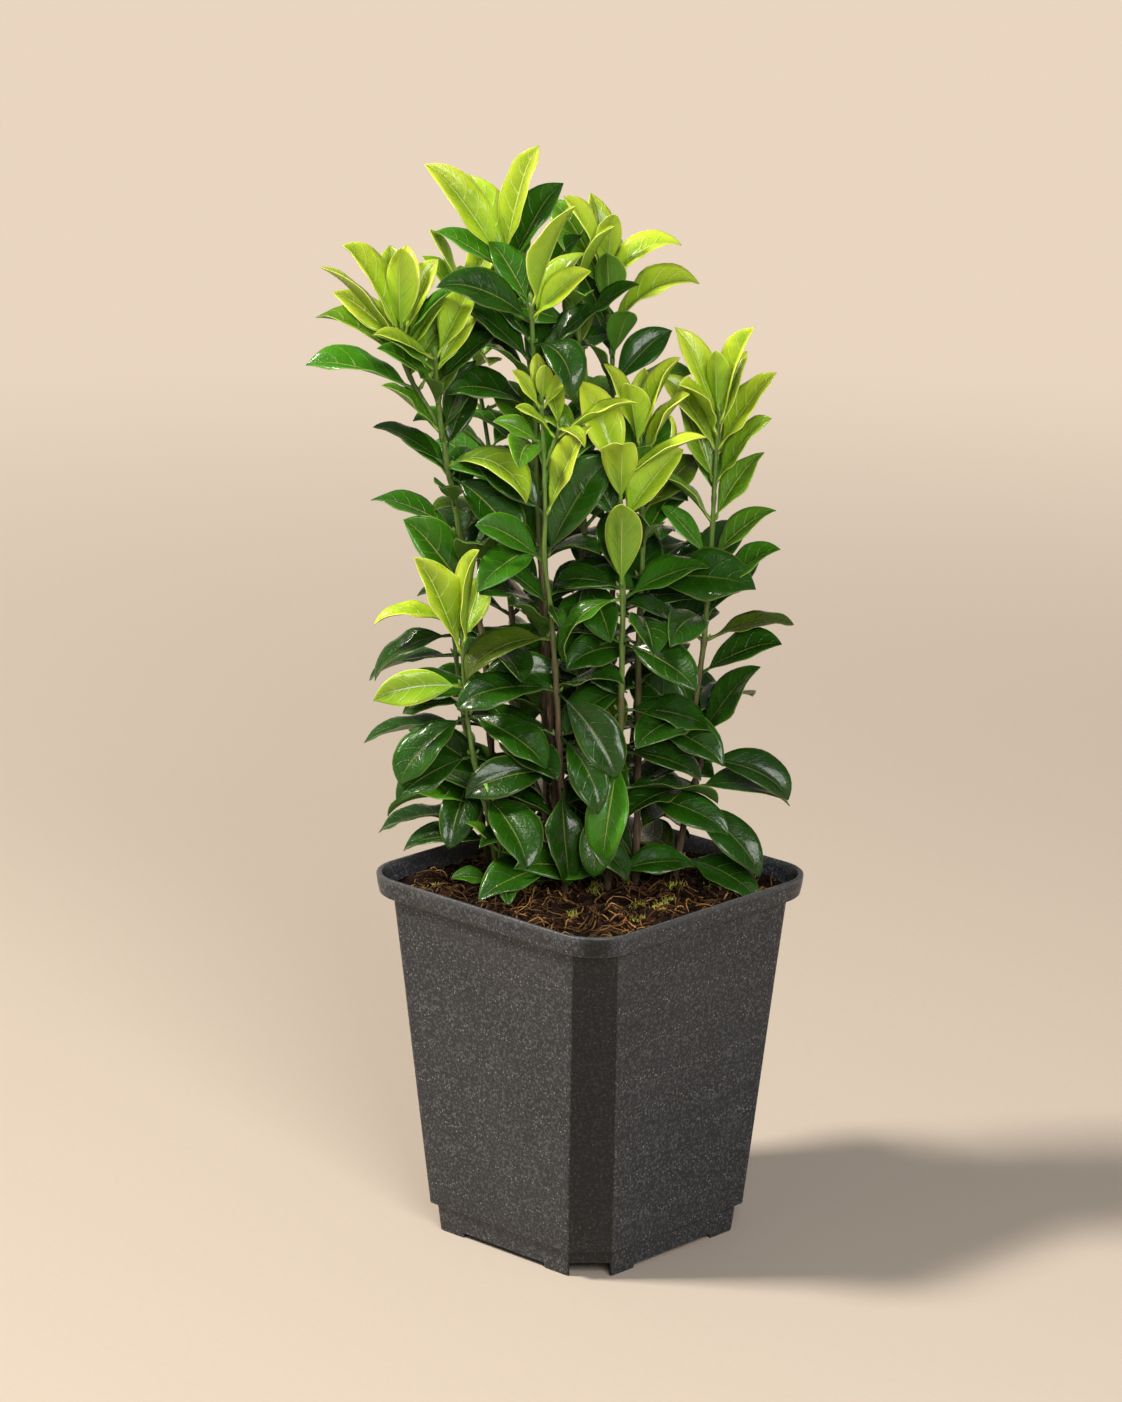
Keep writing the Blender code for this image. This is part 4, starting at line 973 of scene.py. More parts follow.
def leaf_material(settings):
    """A glossy blade: pale margin, midrib and side veins, darker with age, paler and dull beneath."""
    shade = Shade("leaf")
    age, under, tint = shade.attribute("traits")
    along, across, _ = shade.parts(shade.node("UVMap", uv_map="blade").outputs[0])
    off_rib = shade.times(shade.math("ABSOLUTE", shade.math("SUBTRACT", across, 0.5)), 2.0)
    cloud = shade.noise(95.0, 3.0)
    fine = shade.noise(700.0, 3.0)

    # the green of the blade, by age
    towards_tip = shade.step(shade.line(off_rib, 0.45, along), 0.25, 1.15)
    fresh = shade.mix(towards_tip, settings.young, settings.newest)
    fresh = shade.mix(shade.times(shade.step(cloud, 0.45, 0.8), 0.5), fresh, settings.grown)
    ripe = shade.mix(shade.step(cloud, 0.3, 0.75), settings.grown, toned(settings.grown, 0.75))
    dark = shade.mix(shade.step(cloud, 0.3, 0.75), settings.old, toned(settings.old, 1.7))
    green = shade.mix(shade.step(age, 0.12, 0.58), fresh, ripe)
    green = shade.mix(shade.step(age, 0.5, 0.92), green, dark)
    green = shade.mix(shade.times(shade.step(tint, 0.86, 1.0), 0.35), green, YELLOWING)
    bright = shade.line(tint, 0.6, shade.line(off_rib, 0.4, 0.55))
    green = shade.mix(1.0, green, shade.node("CombineColor", {0: bright, 1: bright, 2: bright}).outputs[0],
                      "MULTIPLY")

    # side veins run out and forward from the midrib, in a net of finer ones
    run_out = shade.line(shade.math("POWER", off_rib, 1.3), -0.19, along)
    wave = shade.math("COSINE", shade.line(run_out, 46.0, shade.times(fine, 1.1)))
    vein = shade.times(shade.step(wave, 0.86, 1.0), shade.step(off_rib, 0.97, 0.6))
    net = shade.cells(900.0, feature="DISTANCE_TO_EDGE")[0]
    mesh = shade.times(shade.step(net, 0.09, 0.0), 0.25)
    rib_width = shade.line(along, -0.06, 0.085)
    rib = shade.step(shade.math("DIVIDE", off_rib, rib_width), 1.0, 0.4)
    margin = shade.step(off_rib, 0.93, 0.985)

    fade = shade.line(shade.step(age, 0.85, 0.1), 0.3, 0.012)
    pale = shade.times(vein, fade)
    colour = shade.mix(shade.math("ADD", pale, shade.times(mesh, fade)), green, settings.rib)
    colour = shade.mix(shade.times(rib, shade.line(age, -0.86, 0.97)), colour, settings.rib)
    beneath = shade.mix(0.35, green, settings.beneath)
    colour = shade.mix(shade.times(under, shade.line(rib, -0.6, 0.8)), colour, beneath)
    edge = shade.times(margin, shade.line(shade.step(age, 0.1, 0.75), -0.8, 0.92))
    colour = shade.mix(edge, colour, settings.margin)

    hollow = shade.line(rib, -1.2, shade.times(vein, -0.45))
    relief = shade.math("ADD", hollow, shade.times(shade.noise(150.0, 3.0), 2.2))
    relief = shade.line(mesh, -0.3, relief)
    shade.bump(relief, 0.00035, 0.8)
    dull = shade.line(under, 0.25, settings.roughness)
    rough = shade.line(fine, 0.12, dull)
    shade.surface.inputs["Coat Weight"].default_value = 0.22
    shade.surface.inputs["Coat Roughness"].default_value = 0.08
    through = shade.line(age, -0.85 * settings.glow, settings.glow)
    shade.put(shade.surface.inputs["Subsurface Weight"], through)
    shade.surface.inputs["Subsurface Radius"].default_value = (0.6, 1.0, 0.12)
    shade.surface.inputs["Subsurface Scale"].default_value = 0.0012
    return shade.finish(colour, rough, 0.24)


FLOOR_FADE = (0.45, 1.4)  # the floor fades to the backdrop between these distances
SKY_FADE = (0.34, 0.17)  # and the sky between these heights


def floor_material(settings):
    shade = Shade("pale_floor")
    cloud = shade.noise(9.0, 4.0)
    colour = shade.mix(shade.times(cloud, 0.35), settings.floor, toned(settings.floor, 0.93))
    shade.bump(shade.noise(240.0, 3.0), 0.0003, 0.4)
    away = shade.node("VectorMath", {0: shade.place}, operation="LENGTH").outputs["Value"]
    shade.show_plain(shade.step(away, *FLOOR_FADE), settings.backdrop)
    return shade.finish(colour, shade.line(cloud, 0.1, 0.75))


def light_world(settings):
    """Soft light from all round, with the backdrop's colour along the horizon."""
    world = bpy.data.worlds.new("studio")
    shade = Shade("studio", world)
    shade.put(shade.surface.inputs["Color"], (1.0, 0.98, 0.95))
    shade.surface.inputs["Strength"].default_value = settings.sky
    height = shade.parts(shade.place)[2]
    shade.show_plain(shade.step(height, *SKY_FADE), settings.backdrop)
    return world


# ---- pot ----
CORNER_POINTS = 17
FOOT_EDGE = 0.4  # radii of the edges rolled over: under the foot, under the body and under the rim
BODY_EDGE = 0.35
RIM_EDGE = 0.7
OPENING_BEVEL = 0.35
DRAIN_SIDES = 24


def fine_facet(half):
    """A body corner: two edges rolled over to a flat facet that lies a little behind them."""
    near = half - FACET_LEG
    inset = FACET_INSET * math.sqrt(2)
    low = [(half, near - 2.2), (half, near - 1.2), (half - 0.12, near - 0.55), (half - 0.45, near - 0.05),
           (half - 0.85, near + 0.35), (half - inset - 0.35, near + 0.75)]
    middle = len(low)
    flat = CORNER_POINTS - 2 * middle
    start = Vector(low[-1])
    end = Vector((low[-1][1], low[-1][0]))
    points = [tuple(start.lerp(end, (i + 1) / (flat + 1))) for i in range(flat)]
    return low + points + [(y, x) for x, y in reversed(low)]


def fine_round(half, radius):
    """A rim corner: a quarter circle."""
    turns = [math.radians(90.0 * i / (CORNER_POINTS - 1)) for i in range(CORNER_POINTS)]
    return [(half - radius + radius * math.cos(a), half - radius + radius * math.sin(a)) for a in turns]


def square_ring(corner, height):
    """A ring of four equal corners at one height."""
    ring = []
    for quarter in range(4):
        turn = Matrix.Rotation(math.radians(90.0 * quarter), 3, "Z")
        ring += [turn @ Vector((x, y, height)) for x, y in corner]
    return ring


def faceted(half, height):
    """A ring with the body's flat corners."""
    return square_ring(fine_facet(half), height)


def rounded(half, height):
    """A ring with the rim's round corners."""
    return square_ring(fine_round(half, RIM_RADIUS), height)


def rolled(ring, half, height, radius, start, end, steps):
    """Rings round an edge's quarter or half circle, from one angle to the other. 0 points outwards."""
    angles = [math.radians(start + (end - start) * i / steps) for i in range(steps + 1)]
    return [ring(half + radius * math.cos(a), height + radius * math.sin(a)) for a in angles]


def pot_rings(lip):
    """Rings of the whole pot from the floor's underside, round the foot, up outside and down inside."""
    band = POT_HEIGHT - RIM_BAND
    rings = [faceted(FOOT_HALF - FOOT_WALL, FLOOR_Z), faceted(FOOT_HALF - FOOT_WALL, FOOT_EDGE)]
    rings += rolled(faceted, FOOT_HALF - FOOT_EDGE, FOOT_EDGE, FOOT_EDGE, -90.0, 0.0, 2)
    rings += [faceted(FOOT_HALF + 0.8, FOOT_BAND - 0.3), faceted(FOOT_HALF + 1.0, FOOT_BAND)]
    rings += rolled(faceted, BODY_FOOT_HALF - BODY_EDGE, FOOT_BAND + 0.5, BODY_EDGE, -80.0, 0.0, 2)
    for share in (0.25, 0.5, 0.75):
        height = FOOT_BAND + 0.85 + (band - FOOT_BAND - 2.0) * share
        rings.append(faceted(body_half(height), height))
    rings += [faceted(BODY_TOP_HALF, band - 1.2), faceted(BODY_TOP_HALF + 0.15, band - 0.5)]
    rings += rolled(rounded, RIM_HALF - 1.5, band + 0.5, RIM_EDGE, -90.0, 0.0, 3)
    rings.append(rounded(RIM_HALF - 0.35, band + 3.5))
    rings += rolled(rounded, RIM_HALF - lip * 1.2, POT_HEIGHT - lip, lip, 0.0, 180.0, 6)
    inner = RIM_HALF - WALL - 0.5
    rings += [rounded(inner, POT_HEIGHT - 2.0), rounded(inner - 0.6, band + 0.8)]
    rings += [faceted(BODY_TOP_HALF - WALL, band - 1.4),
              faceted(body_half(FOOT_BAND + 2.0) - WALL, FOOT_BAND + 2.0),
              faceted(FOOT_HALF - WALL + 0.4, FLOOR_Z + WALL)]
    return rings


def body_half(height):
    """Half width of the tapered body's outside."""
    share = (height - FOOT_BAND) / (POT_HEIGHT - RIM_BAND - FOOT_BAND)
    return BODY_FOOT_HALF + (BODY_TOP_HALF - BODY_FOOT_HALF) * share


def pot_openings():
    """The gaps under the sides and corners and the drain holes, as one cutter."""
    bm = bmesh.new()
    width, height = SIDE_GAP
    facet = FACET_LEG * math.sqrt(2) - 1.0
    out = FOOT_HALF * math.sqrt(2) - FACET_LEG / math.sqrt(2)
    for quarter in range(4):
        for turn, far, size in ((90.0 * quarter, FOOT_HALF, (OPENING_DEPTH, width, height * 2)),
                                (90.0 * quarter + 45.0, out, (OPENING_DEPTH, facet, CORNER_GAP * 2))):
            matrix = (Matrix.Rotation(math.radians(turn), 4, "Z") @ Matrix.Translation((far, 0.0, 0.0))
                      @ Matrix.Diagonal((*size, 1.0)))
            cube = bmesh.ops.create_cube(bm, size=1.0, matrix=matrix)["verts"]
            edges = list({e for v in cube for e in v.link_edges})
            bmesh.ops.bevel(bm, geom=edges, offset=OPENING_BEVEL, offset_type="OFFSET", segments=2,
                            profile=0.5, affect="EDGES", material=-1)
    for i in range(DRAIN_COUNT):
        turn = Matrix.Rotation(math.tau * i / DRAIN_COUNT, 4, "Z")
        place = turn @ Matrix.Translation((DRAIN_RING, 0.0, FLOOR_Z))
        bmesh.ops.create_cone(bm, cap_ends=True, segments=DRAIN_SIDES, radius1=DRAIN_RADIUS,
                              radius2=DRAIN_RADIUS, depth=3 * WALL, matrix=place)
    bmesh.ops.transform(bm, matrix=POT_TO_FRAME, verts=bm.verts)
    return new_object("pot_openings", bm, [], smooth=False)


def cut_with(piece, cutter):
    """The piece less the cutter, which is then gone."""
    cut = piece.modifiers.new("cut", "BOOLEAN")
    cut.operation = "DIFFERENCE"
    cut.object = cutter
    bpy.context.view_layer.update()
    graph = bpy.context.evaluated_depsgraph_get()
    mesh = bpy.data.meshes.new_from_object(piece.evaluated_get(graph))
    piece.modifiers.clear()
    piece.data = mesh
    bpy.data.objects.remove(cutter)


class SPINDLE_OT_pot(Operator):
    """Make the square pot with its rolled rim, faceted corners, foot and drain holes"""

    bl_idname = "spindle.pot"
    bl_label = "Make the pot"

    def execute(self, context):
        settings = context.scene.spindle_pot
        bm = bmesh.new()
        add_lofted(bm, pot_rings(settings.lip / MM))
        bmesh.ops.recalc_face_normals(bm, faces=bm.faces)
        pot = new_object("square_pot", bm, [plastic_material(settings)])
        cut_with(pot, pot_openings())
        pot.data.set_sharp_from_angle(angle=math.radians(35))
        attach(pot, "root")
        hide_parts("pot")
        return {"FINISHED"}


# ---- soil ----
SOIL_CELLS = 110
SOIL_LUMPS = ((3.0, 6.5, 1.7), (9.0, 2.6, 1.2), (20.0, 1.1, 0.5))  # (slice of the noise, width, height)
CRUMB_SIZE = (0.5, 1.5)
CRUMB_LEAN = (-0.6, 0.6)
LARGE_CRUMB = 2.1  # how much larger the large ones are
LARGE_CRUMBS = 0.16  # their share
FIBRE_LENGTH = (3.0, 14.0)
FIBRE_RADIUS = (0.12, 0.34)
FIBRE_STEPS = 6
TUFT_SPREAD = (1.5, 4.0)
SHOOTS_PER_SPREAD = 13
SHOOT_HEIGHT = (1.2, 2.6)
SHOOT_RADIUS = (0.16, 0.34)
SHOOT_LEAN = (-0.7, 0.7)


def soil_surface(x, y):
    """The surface with its lumps."""
    share = min(1.0, max(abs(x), abs(y), (abs(x) + abs(y)) / 1.8) / SOIL_EDGE_HALF)
    large, small, grit = (noise.noise(Vector((x, y, z)) / width) * height for z, width, height in SOIL_LUMPS)
    return soil_height(x, y, share) + (large + small) + grit


def in_facets(x, y, half, leg):
    """The point moved in, where it lies past the square's cut-off corners."""
    over = (abs(x) + abs(y)) - (2 * half - leg)
    if over <= 0.0:
        return x, y
    return x - math.copysign(over / 2, x), y - math.copysign(over / 2, y)


def is_on_soil(x, y, margin):
    half = SOIL_EDGE_HALF - margin
    return max(abs(x), abs(y)) < half and abs(x) + abs(y) < 2 * half - FACET_LEG


def soil_mesh():
    """The lumpy surface on a block that fills the pot."""
    bm = bmesh.new()
    layer = bm.verts.layers.float_color.new("tint")
    half = SOIL_EDGE_HALF + 0.8
    bmesh.ops.create_grid(bm, x_segments=SOIL_CELLS, y_segments=SOIL_CELLS, size=half)
    for vert in bm.verts:
        x, y = in_facets(vert.co.x, vert.co.y, half, FACET_LEG)
        vert.co = (x, y, soil_surface(x, y))
        value = 0.5 + 0.5 * noise.noise(Vector((x, y, 40.0)) / 3.0)
        vert[layer] = (value, value, value, 1.0)
    neck = (BODY_TOP_HALF - WALL - GAP, neck_height())
    foot = (FOOT_HALF - WALL - GAP, FLOOR_Z + WALL + GAP)
    for narrower, height in (neck, foot):
        rim = [edge for edge in bm.edges if edge.is_boundary]
        shrink = narrower / half
        half = narrower
        walls = bmesh.ops.extrude_edge_only(bm, edges=rim)["geom"]
        for vert in verts_of(walls):
            vert.co = (vert.co.x * shrink, vert.co.y * shrink, height)
    low = [edge for edge in bm.edges if edge.is_boundary]
    bmesh.ops.holes_fill(bm, edges=low, sides=0)
    bmesh.ops.recalc_face_normals(bm, faces=bm.faces)
    bmesh.ops.transform(bm, matrix=POT_TO_FRAME, verts=bm.verts)
    return bm


def spot_on_soil(draw, margin=2.0):
    """A random place on the surface, in millimetres."""
    half = SOIL_EDGE_HALF - margin
    x, y = in_facets(draw.uniform(-half, half), draw.uniform(-half, half), half, FACET_LEG)
    return x, y


def turned(angle, axis):
    return Matrix.Rotation(angle, 4, axis)


def crumb_mesh(count, draw):
    """Loose crumbs of peat and chips of bark, half sunk in the surface."""
    bm = tinted_mesh()
    template = template_mesh(bmesh.ops.create_icosphere, subdivisions=1, radius=1.0)
    for _ in range(count):
        x, y = spot_on_soil(draw)
        size = draw.uniform(*CRUMB_SIZE) * (LARGE_CRUMB if draw.random() < LARGE_CRUMBS else 1.0)
        shape = Matrix.Diagonal((size, size * draw.uniform(0.45, 0.9), size * draw.uniform(0.3, 0.6), 1.0))
        turn = turned(draw.uniform(0.0, math.tau), "Z") @ turned(draw.uniform(*CRUMB_LEAN), "X")
        matrix = Matrix.Translation((x, y, soil_surface(x, y) + size * 0.12)) @ turn @ shape
        tint = draw.random() ** 1.6
        for vert in add_tinted(bm, template, tint):
            rough = Vector([draw.uniform(-0.16, 0.16) for _ in range(3)])
            vert.co = to_frame(matrix @ (vert.co + rough))
    bpy.data.meshes.remove(template)
    return bm


def add_strand(bm, template, path, radius, tint):
    """A thin strand with pointed ends along the path. The template is a cylinder from 0 to 1 along Z."""
    last = len(path) - 1
    sides = []
    for i, point in enumerate(path):
        along = along_path(path, i)
        first = along.orthogonal().normalized()
        sides.append((point, first, along.cross(first), radius * (0.35 if i in (0, last) else 1.0)))
    for vert in add_tinted(bm, template, tint):
        point, first, second, width = sides[round(vert.co.z * last)]
        vert.co = to_frame(point + (first * vert.co.x + second * vert.co.y) * width)


def fibre_mesh(count, draw):
    """Straw and root fibres, lying on the soil and curling out of it."""
    bm = tinted_mesh()
    template = template_mesh(strand_template, steps=FIBRE_STEPS)
    for _ in range(count):
        x, y = spot_on_soil(draw, 3.0)
        turn = draw.uniform(0.0, math.tau)
        curl = draw.uniform(-0.35, 0.35)
        length = draw.uniform(*FIBRE_LENGTH)
        lift = draw.uniform(0.2, 3.0) if draw.random() < 0.5 else 0.4
        path = []
        for i in range(FIBRE_STEPS + 1):
            z = soil_surface(x, y) + 0.15 + lift * math.sin(math.pi * i / FIBRE_STEPS)
            path.append(Vector((x, y, z)))
            turn += curl
            next_x = x + math.cos(turn) * length / FIBRE_STEPS
            next_y = y + math.sin(turn) * length / FIBRE_STEPS
            if is_on_soil(next_x, next_y, 1.5):
                x, y = next_x, next_y
            else:
                turn += math.pi / 2
        if (path[-1] - path[0]).length > 1.5:
            add_strand(bm, template, path, draw.uniform(*FIBRE_RADIUS), draw.random() ** 4.0)
    bpy.data.meshes.remove(template)
    return bm


def moss_mesh(count, draw):
    """Small cushions of upright moss shoots."""
    bm = tinted_mesh()
    shoot = dict(cap_ends=True, segments=4, radius1=1.0, radius2=0.1, depth=1.0)
    template = template_mesh(bmesh.ops.create_cone, **shoot)
    for _ in range(count):
        middle = spot_on_soil(draw, 6.0)
        spread = draw.uniform(*TUFT_SPREAD)
        for _ in range(int(spread * SHOOTS_PER_SPREAD)):
            x = middle[0] + draw.gauss(0.0, spread * 0.45)
            y = middle[1] + draw.gauss(0.0, spread * 0.45)
            if not is_on_soil(x, y, 1.0):
                continue
            tall = draw.uniform(*SHOOT_HEIGHT)
            wide = draw.uniform(*SHOOT_RADIUS)
            lean = turned(draw.uniform(*SHOOT_LEAN), "X") @ turned(draw.uniform(*SHOOT_LEAN), "Y")
            foot = Matrix.Translation((x, y, soil_surface(x, y)))
            matrix = foot @ lean @ Matrix.Diagonal((wide, wide, tall, 1.0))
            for vert in add_tinted(bm, template, draw.random()):
                vert.co = to_frame(matrix @ (vert.co + UP * 0.4))
    bpy.data.meshes.remove(template)
    return bm


class SPINDLE_OT_soil(Operator):
    """Make the potting soil, the loose crumbs and fibres on it and the tufts of moss"""

    bl_idname = "spindle.soil"
    bl_label = "Make the soil"

    def execute(self, context):
        settings = context.scene.spindle_soil
        peat = peat_material(settings)
        draw = random.Random(41)
        pieces = (
            ("soil_block", soil_mesh(), peat),
            ("soil_crumbs", crumb_mesh(settings.crumbs, draw), peat),
            ("soil_fibres", fibre_mesh(settings.fibres, draw), fibre_material(settings)),
            ("moss", moss_mesh(settings.tufts, draw), moss_material(settings)),
        )
        for name, bm, material in pieces:
            piece = new_object(name, bm, [material])
            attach(piece, "root")
            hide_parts("potting_soil")
        return {"FINISHED"}


# ---- plant ----
def pot_and_soil(crowd):
    """Adds the solids that the leaves keep clear of."""
    for node, owner in (("pot", ""), ("potting_soil", "soil")):
        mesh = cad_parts[node].data
        points = [from_frame(vert.co) for vert in mesh.vertices]
        crowd.add(points, [tuple(face.vertices) for face in mesh.polygons], owner)


@functools.cache
def grow():
    """Every stem's plan, and (name, stem's name, row, place) of every leaf that found room."""
    plans, rows = all_leaf_rows()
    crowd = Crowd()
    pot_and_soil(crowd)
    for plan in plans.values():
        rings = stem_rings(plan["path"], plan["widths"], GAP)
        crowd.add(*loft(rings), owner=plan["name"])
    own = largest_leaves(rows)
    grown = []
    for name, stem_name, row in rows:
        place = place_leaf(crowd, plans[stem_name], row, name in own)
        if place:
            grown.append((name, stem_name, row, place))
    return plans, grown


BLADE_ROWS = 18
BLADE_COLUMNS = 8
TIP_DROOP = 60.0  # how fast a blade's last part droops, in degrees over its length
TIP_FROM = 0.7
# What differs from leaf to leaf is drawn between two numbers.
SWAY = (-0.1, 0.1)  # how far the tip lies to one side, as a share of the length
CURL = (-0.5, 0.5)  # how far the tip is turned about the blade
BLUNTNESS = (0.84, 1.1)
BLADE_WIDTHS = (0.92, 1.1)
FOLDS = (0.7, 1.2)
UNEVENNESS = (-0.14, 0.14)  # how much wider one half is
RIPPLE = (0.05, 0.19)  # how far the edge waves, as a share of the half width


def leaf_layers(bm):
    """The mesh with the layers that a leaf's material reads."""
    bm.loops.layers.uv.new("blade")
    bm.verts.layers.float_color.new("traits")
    return bm


def blade_template(bm):
    """A flat closed slab: x from 0 to 1 along the leaf, y from -1 to 1 across it, z -1 below and 1 above."""
    blade = leaf_layers(bm).loops.layers.uv["blade"]
    bmesh.ops.create_grid(bm, x_segments=BLADE_ROWS, y_segments=BLADE_COLUMNS, size=1.0)
    for vert in bm.verts:
        vert.co = ((vert.co.x + 1.0) / 2, vert.co.y, -1.0)
    for face in bm.faces:
        for loop in face.loops:
            loop[blade].uv = (loop.vert.co.x, (loop.vert.co.y + 1.0) / 2)
    sheet = bm.faces[:] + bm.edges[:] + bm.verts[:]
    top = bmesh.ops.extrude_face_region(bm, geom=sheet, use_keep_orig=True)["geom"]
    bmesh.ops.translate(bm, vec=(0.0, 0.0, 2.0), verts=verts_of(top))
    bmesh.ops.recalc_face_normals(bm, faces=bm.faces)


def eased(value, low, high):
    """0 up to low, 1 from high on and smooth between."""
    share = min(max((value - low) / (high - low), 0.0), 1.0)
    return share * share * (3.0 - 2.0 * share)


def blade_row_at(x):
    """Rows lie closer at the foot and the tip."""
    return 0.55 * x + 0.45 * (0.5 - 0.5 * math.cos(math.pi * x))


def leaf_spine(place, root, sway, curl):
    """Fine frames along a leaf: (share of length, middle, across, normal).

    It sways this share of its length to one side at the tip, and turns by curl about itself.
    """
    base, out, turn, rise, leaf = place
    length, _, bend, face = leaf[:4]
    heading = heading_of(turn)
    point = base + heading * (out - root)
    frames = []
    before = 0.0

    def climb(share):
        free = rise - bend * share - TIP_DROOP * max(0.0, share - TIP_FROM)
        held = 1.0 - eased(share, 0.0, PETIOLE * 1.6)
        return math.radians(free + (min(free, STALK_RISE) - free) * held)

    for row in range(BLADE_ROWS + 1):
        s = blade_row_at(row / BLADE_ROWS)
        reach = (s - before) * length
        if row == 1:
            reach += root
        point = point + climbing(heading, climb((s + before) / 2)) * reach
        before = s
        along, _, normal = blade_axes(heading, climb(s), face)
        normal = Matrix.Rotation(curl * s * s, 3, along) @ normal
        across = along.cross(normal)
        frames.append((s, point + across * (sway * length * s * s), across, normal))
    return frames


def add_leaf(bm, template, place, age, thickness, draw):
    """One leaf, shaped from the flat slab."""
    length = place[4][0]
    root = place[1] * 0.85
    frames = leaf_spine(place, root, draw.uniform(*SWAY), draw.uniform(*CURL))
    copy = add_copy(bm, template)
    traits = bm.verts.layers.float_color["traits"]
    tint = draw.random()
    blunt = draw.uniform(*BLUNTNESS)
    width = length * LEAF_WIDTH / 2 * draw.uniform(*BLADE_WIDTHS) * (0.86 + 0.2 * age)
    fold = (0.95 - 0.45 * age) * draw.uniform(*FOLDS)
    uneven = draw.uniform(*UNEVENNESS)
    ripple = draw.uniform(*RIPPLE)
    phase = draw.uniform(0.0, math.tau)
    for vert in copy:
        x, v, side = vert.co
        s, middle, across, normal = frames[round(x * BLADE_ROWS)]
        blade = (s - PETIOLE * 0.8) / (1.0 - PETIOLE * 0.8)
        stalk = 1.0 - eased(s, PETIOLE * 0.3, PETIOLE * 2.2)
        half = max(width * blade_half(blade, blunt), PETIOLE_WIDTH / 2 * stalk, 0.12)
        half *= 1.0 + uneven * v * (1.0 - stalk)
        lift = half * (fold * abs(v) - 0.5 * (fold - 0.1) * v * v) * (1.0 - stalk)
        wave = math.sin(9.0 * s + phase + 1.6 * v) + 0.35 * math.sin(21.0 * s + 2.0 * phase - 2.1 * v)
        lift += half * ripple * wave * v * v * (1.0 - stalk)
        round_part = PETIOLE_WIDTH * 0.42 * math.sqrt(max(0.0, 1.0 - v * v)) * stalk
        rib = 0.35 * max(0.0, 1.0 - abs(v) * 4.0) * (1.0 - s) * (1.0 - stalk)
        thick = thickness / MM / 2 * (1.0 - 0.6 * v * v) * (1.0 - 0.4 * eased(s, 0.85, 1.0))
        up = (thick + round_part) * side - (rib if side < 0.0 else -rib * 0.1)
        vert.co = to_frame(middle + across * (half * v) + normal * (lift + up))
        vert[traits] = (age, 0.0 if side > 0.0 else 1.0, tint, 1.0)


class SPINDLE_OT_leaves(Operator):
    """Grow every leaf: the largest as pieces of their own, the rest as one piece for each stem"""

    bl_idname = "spindle.leaves"
    bl_label = "Grow the leaves"

    def execute(self, context):
        settings = context.scene.spindle_leaves
        material = leaf_material(settings)
        template = template_mesh(blade_template)
        draw = random.Random(7)
        foliage = {}
        for name, stem_name, row, place in grow()[1]:
            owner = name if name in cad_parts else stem_name.removesuffix("_branch")
            if owner not in foliage:
                foliage[owner] = leaf_layers(bmesh.new())
            add_leaf(foliage[owner], template, place, leaf_age(row), settings.thickness, draw)
        for owner, bm in foliage.items():
            is_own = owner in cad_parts
            node = owner if is_own else owner + "_stem"
            piece = new_object(owner + ("_blade" if is_own else "_foliage"), bm, [material])
            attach(piece, "root")
            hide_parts(node)
        bpy.data.meshes.remove(template)
        return {"FINISHED"}


SKIN_SIDES = 12
SKIN_STEP = 2.5
SKIN_SLIM = 0.76  # a skin's radius between leaf pairs, as a share of its solid's
PAIR_REACH = 1.6  # how far from a pair the stem still swells
WOOD_BELOW = 150.0  # this far below its tip a stem is old wood
TIP_BUD = 2.6  # length of the bud at a stem's tip
SIDE_BUD = (0.9, 1.5)  # and of those above the leaves


def skin_rings(plan, heights, swell):
    """Fine rings of a stem, wider at each leaf pair, and how near each is to a pair, from 0 to 1."""
    path = smooth_path(plan["path"], SKIN_STEP)
    count = len(path)
    rings = []
    nearness = []
    for i, point in enumerate(path):
        share = i / (count - 1)
        radius = plan["widths"][0] + (plan["widths"][-1] - plan["widths"][0]) * share
        near = max([math.exp(-((point.z - height) / PAIR_REACH) ** 2) for height in heights] or [0.0])
        radius *= SKIN_SLIM + swell * near
        first, second = square_to(along_path(path, i))
        ring = []
        for k in range(SKIN_SIDES):
            a = math.tau * k / SKIN_SIDES
            groove = 1.0 + 0.05 * math.cos(4 * a + point.z * 0.02)
            ring.append(point + (first * math.cos(a) + second * math.sin(a)) * radius * groove)
        rings.append(ring)
        nearness.append(near)
    return rings, nearness


def add_bud(bm, layer, point, along, size, ripeness):
    """A small pointed bud."""
    turn = along.to_track_quat("Z", "Y").to_matrix().to_4x4()
    shape = Matrix.Diagonal((size * 0.42, size * 0.42, size, 1.0))
    matrix = Matrix.Translation(to_frame(point)) @ turn @ shape @ Matrix.Scale(MM, 4)
    made = bmesh.ops.create_icosphere(bm, subdivisions=1, radius=1.0, matrix=matrix)["verts"]
    for vert in made:
        vert[layer] = (ripeness, 0.0, 0.0, 1.0)


def ripeness_at(top, z):
    """0 at a growing tip, 1 in the old wood near the soil."""
    return min(1.0, max(0.0, (top - z) / WOOD_BELOW))


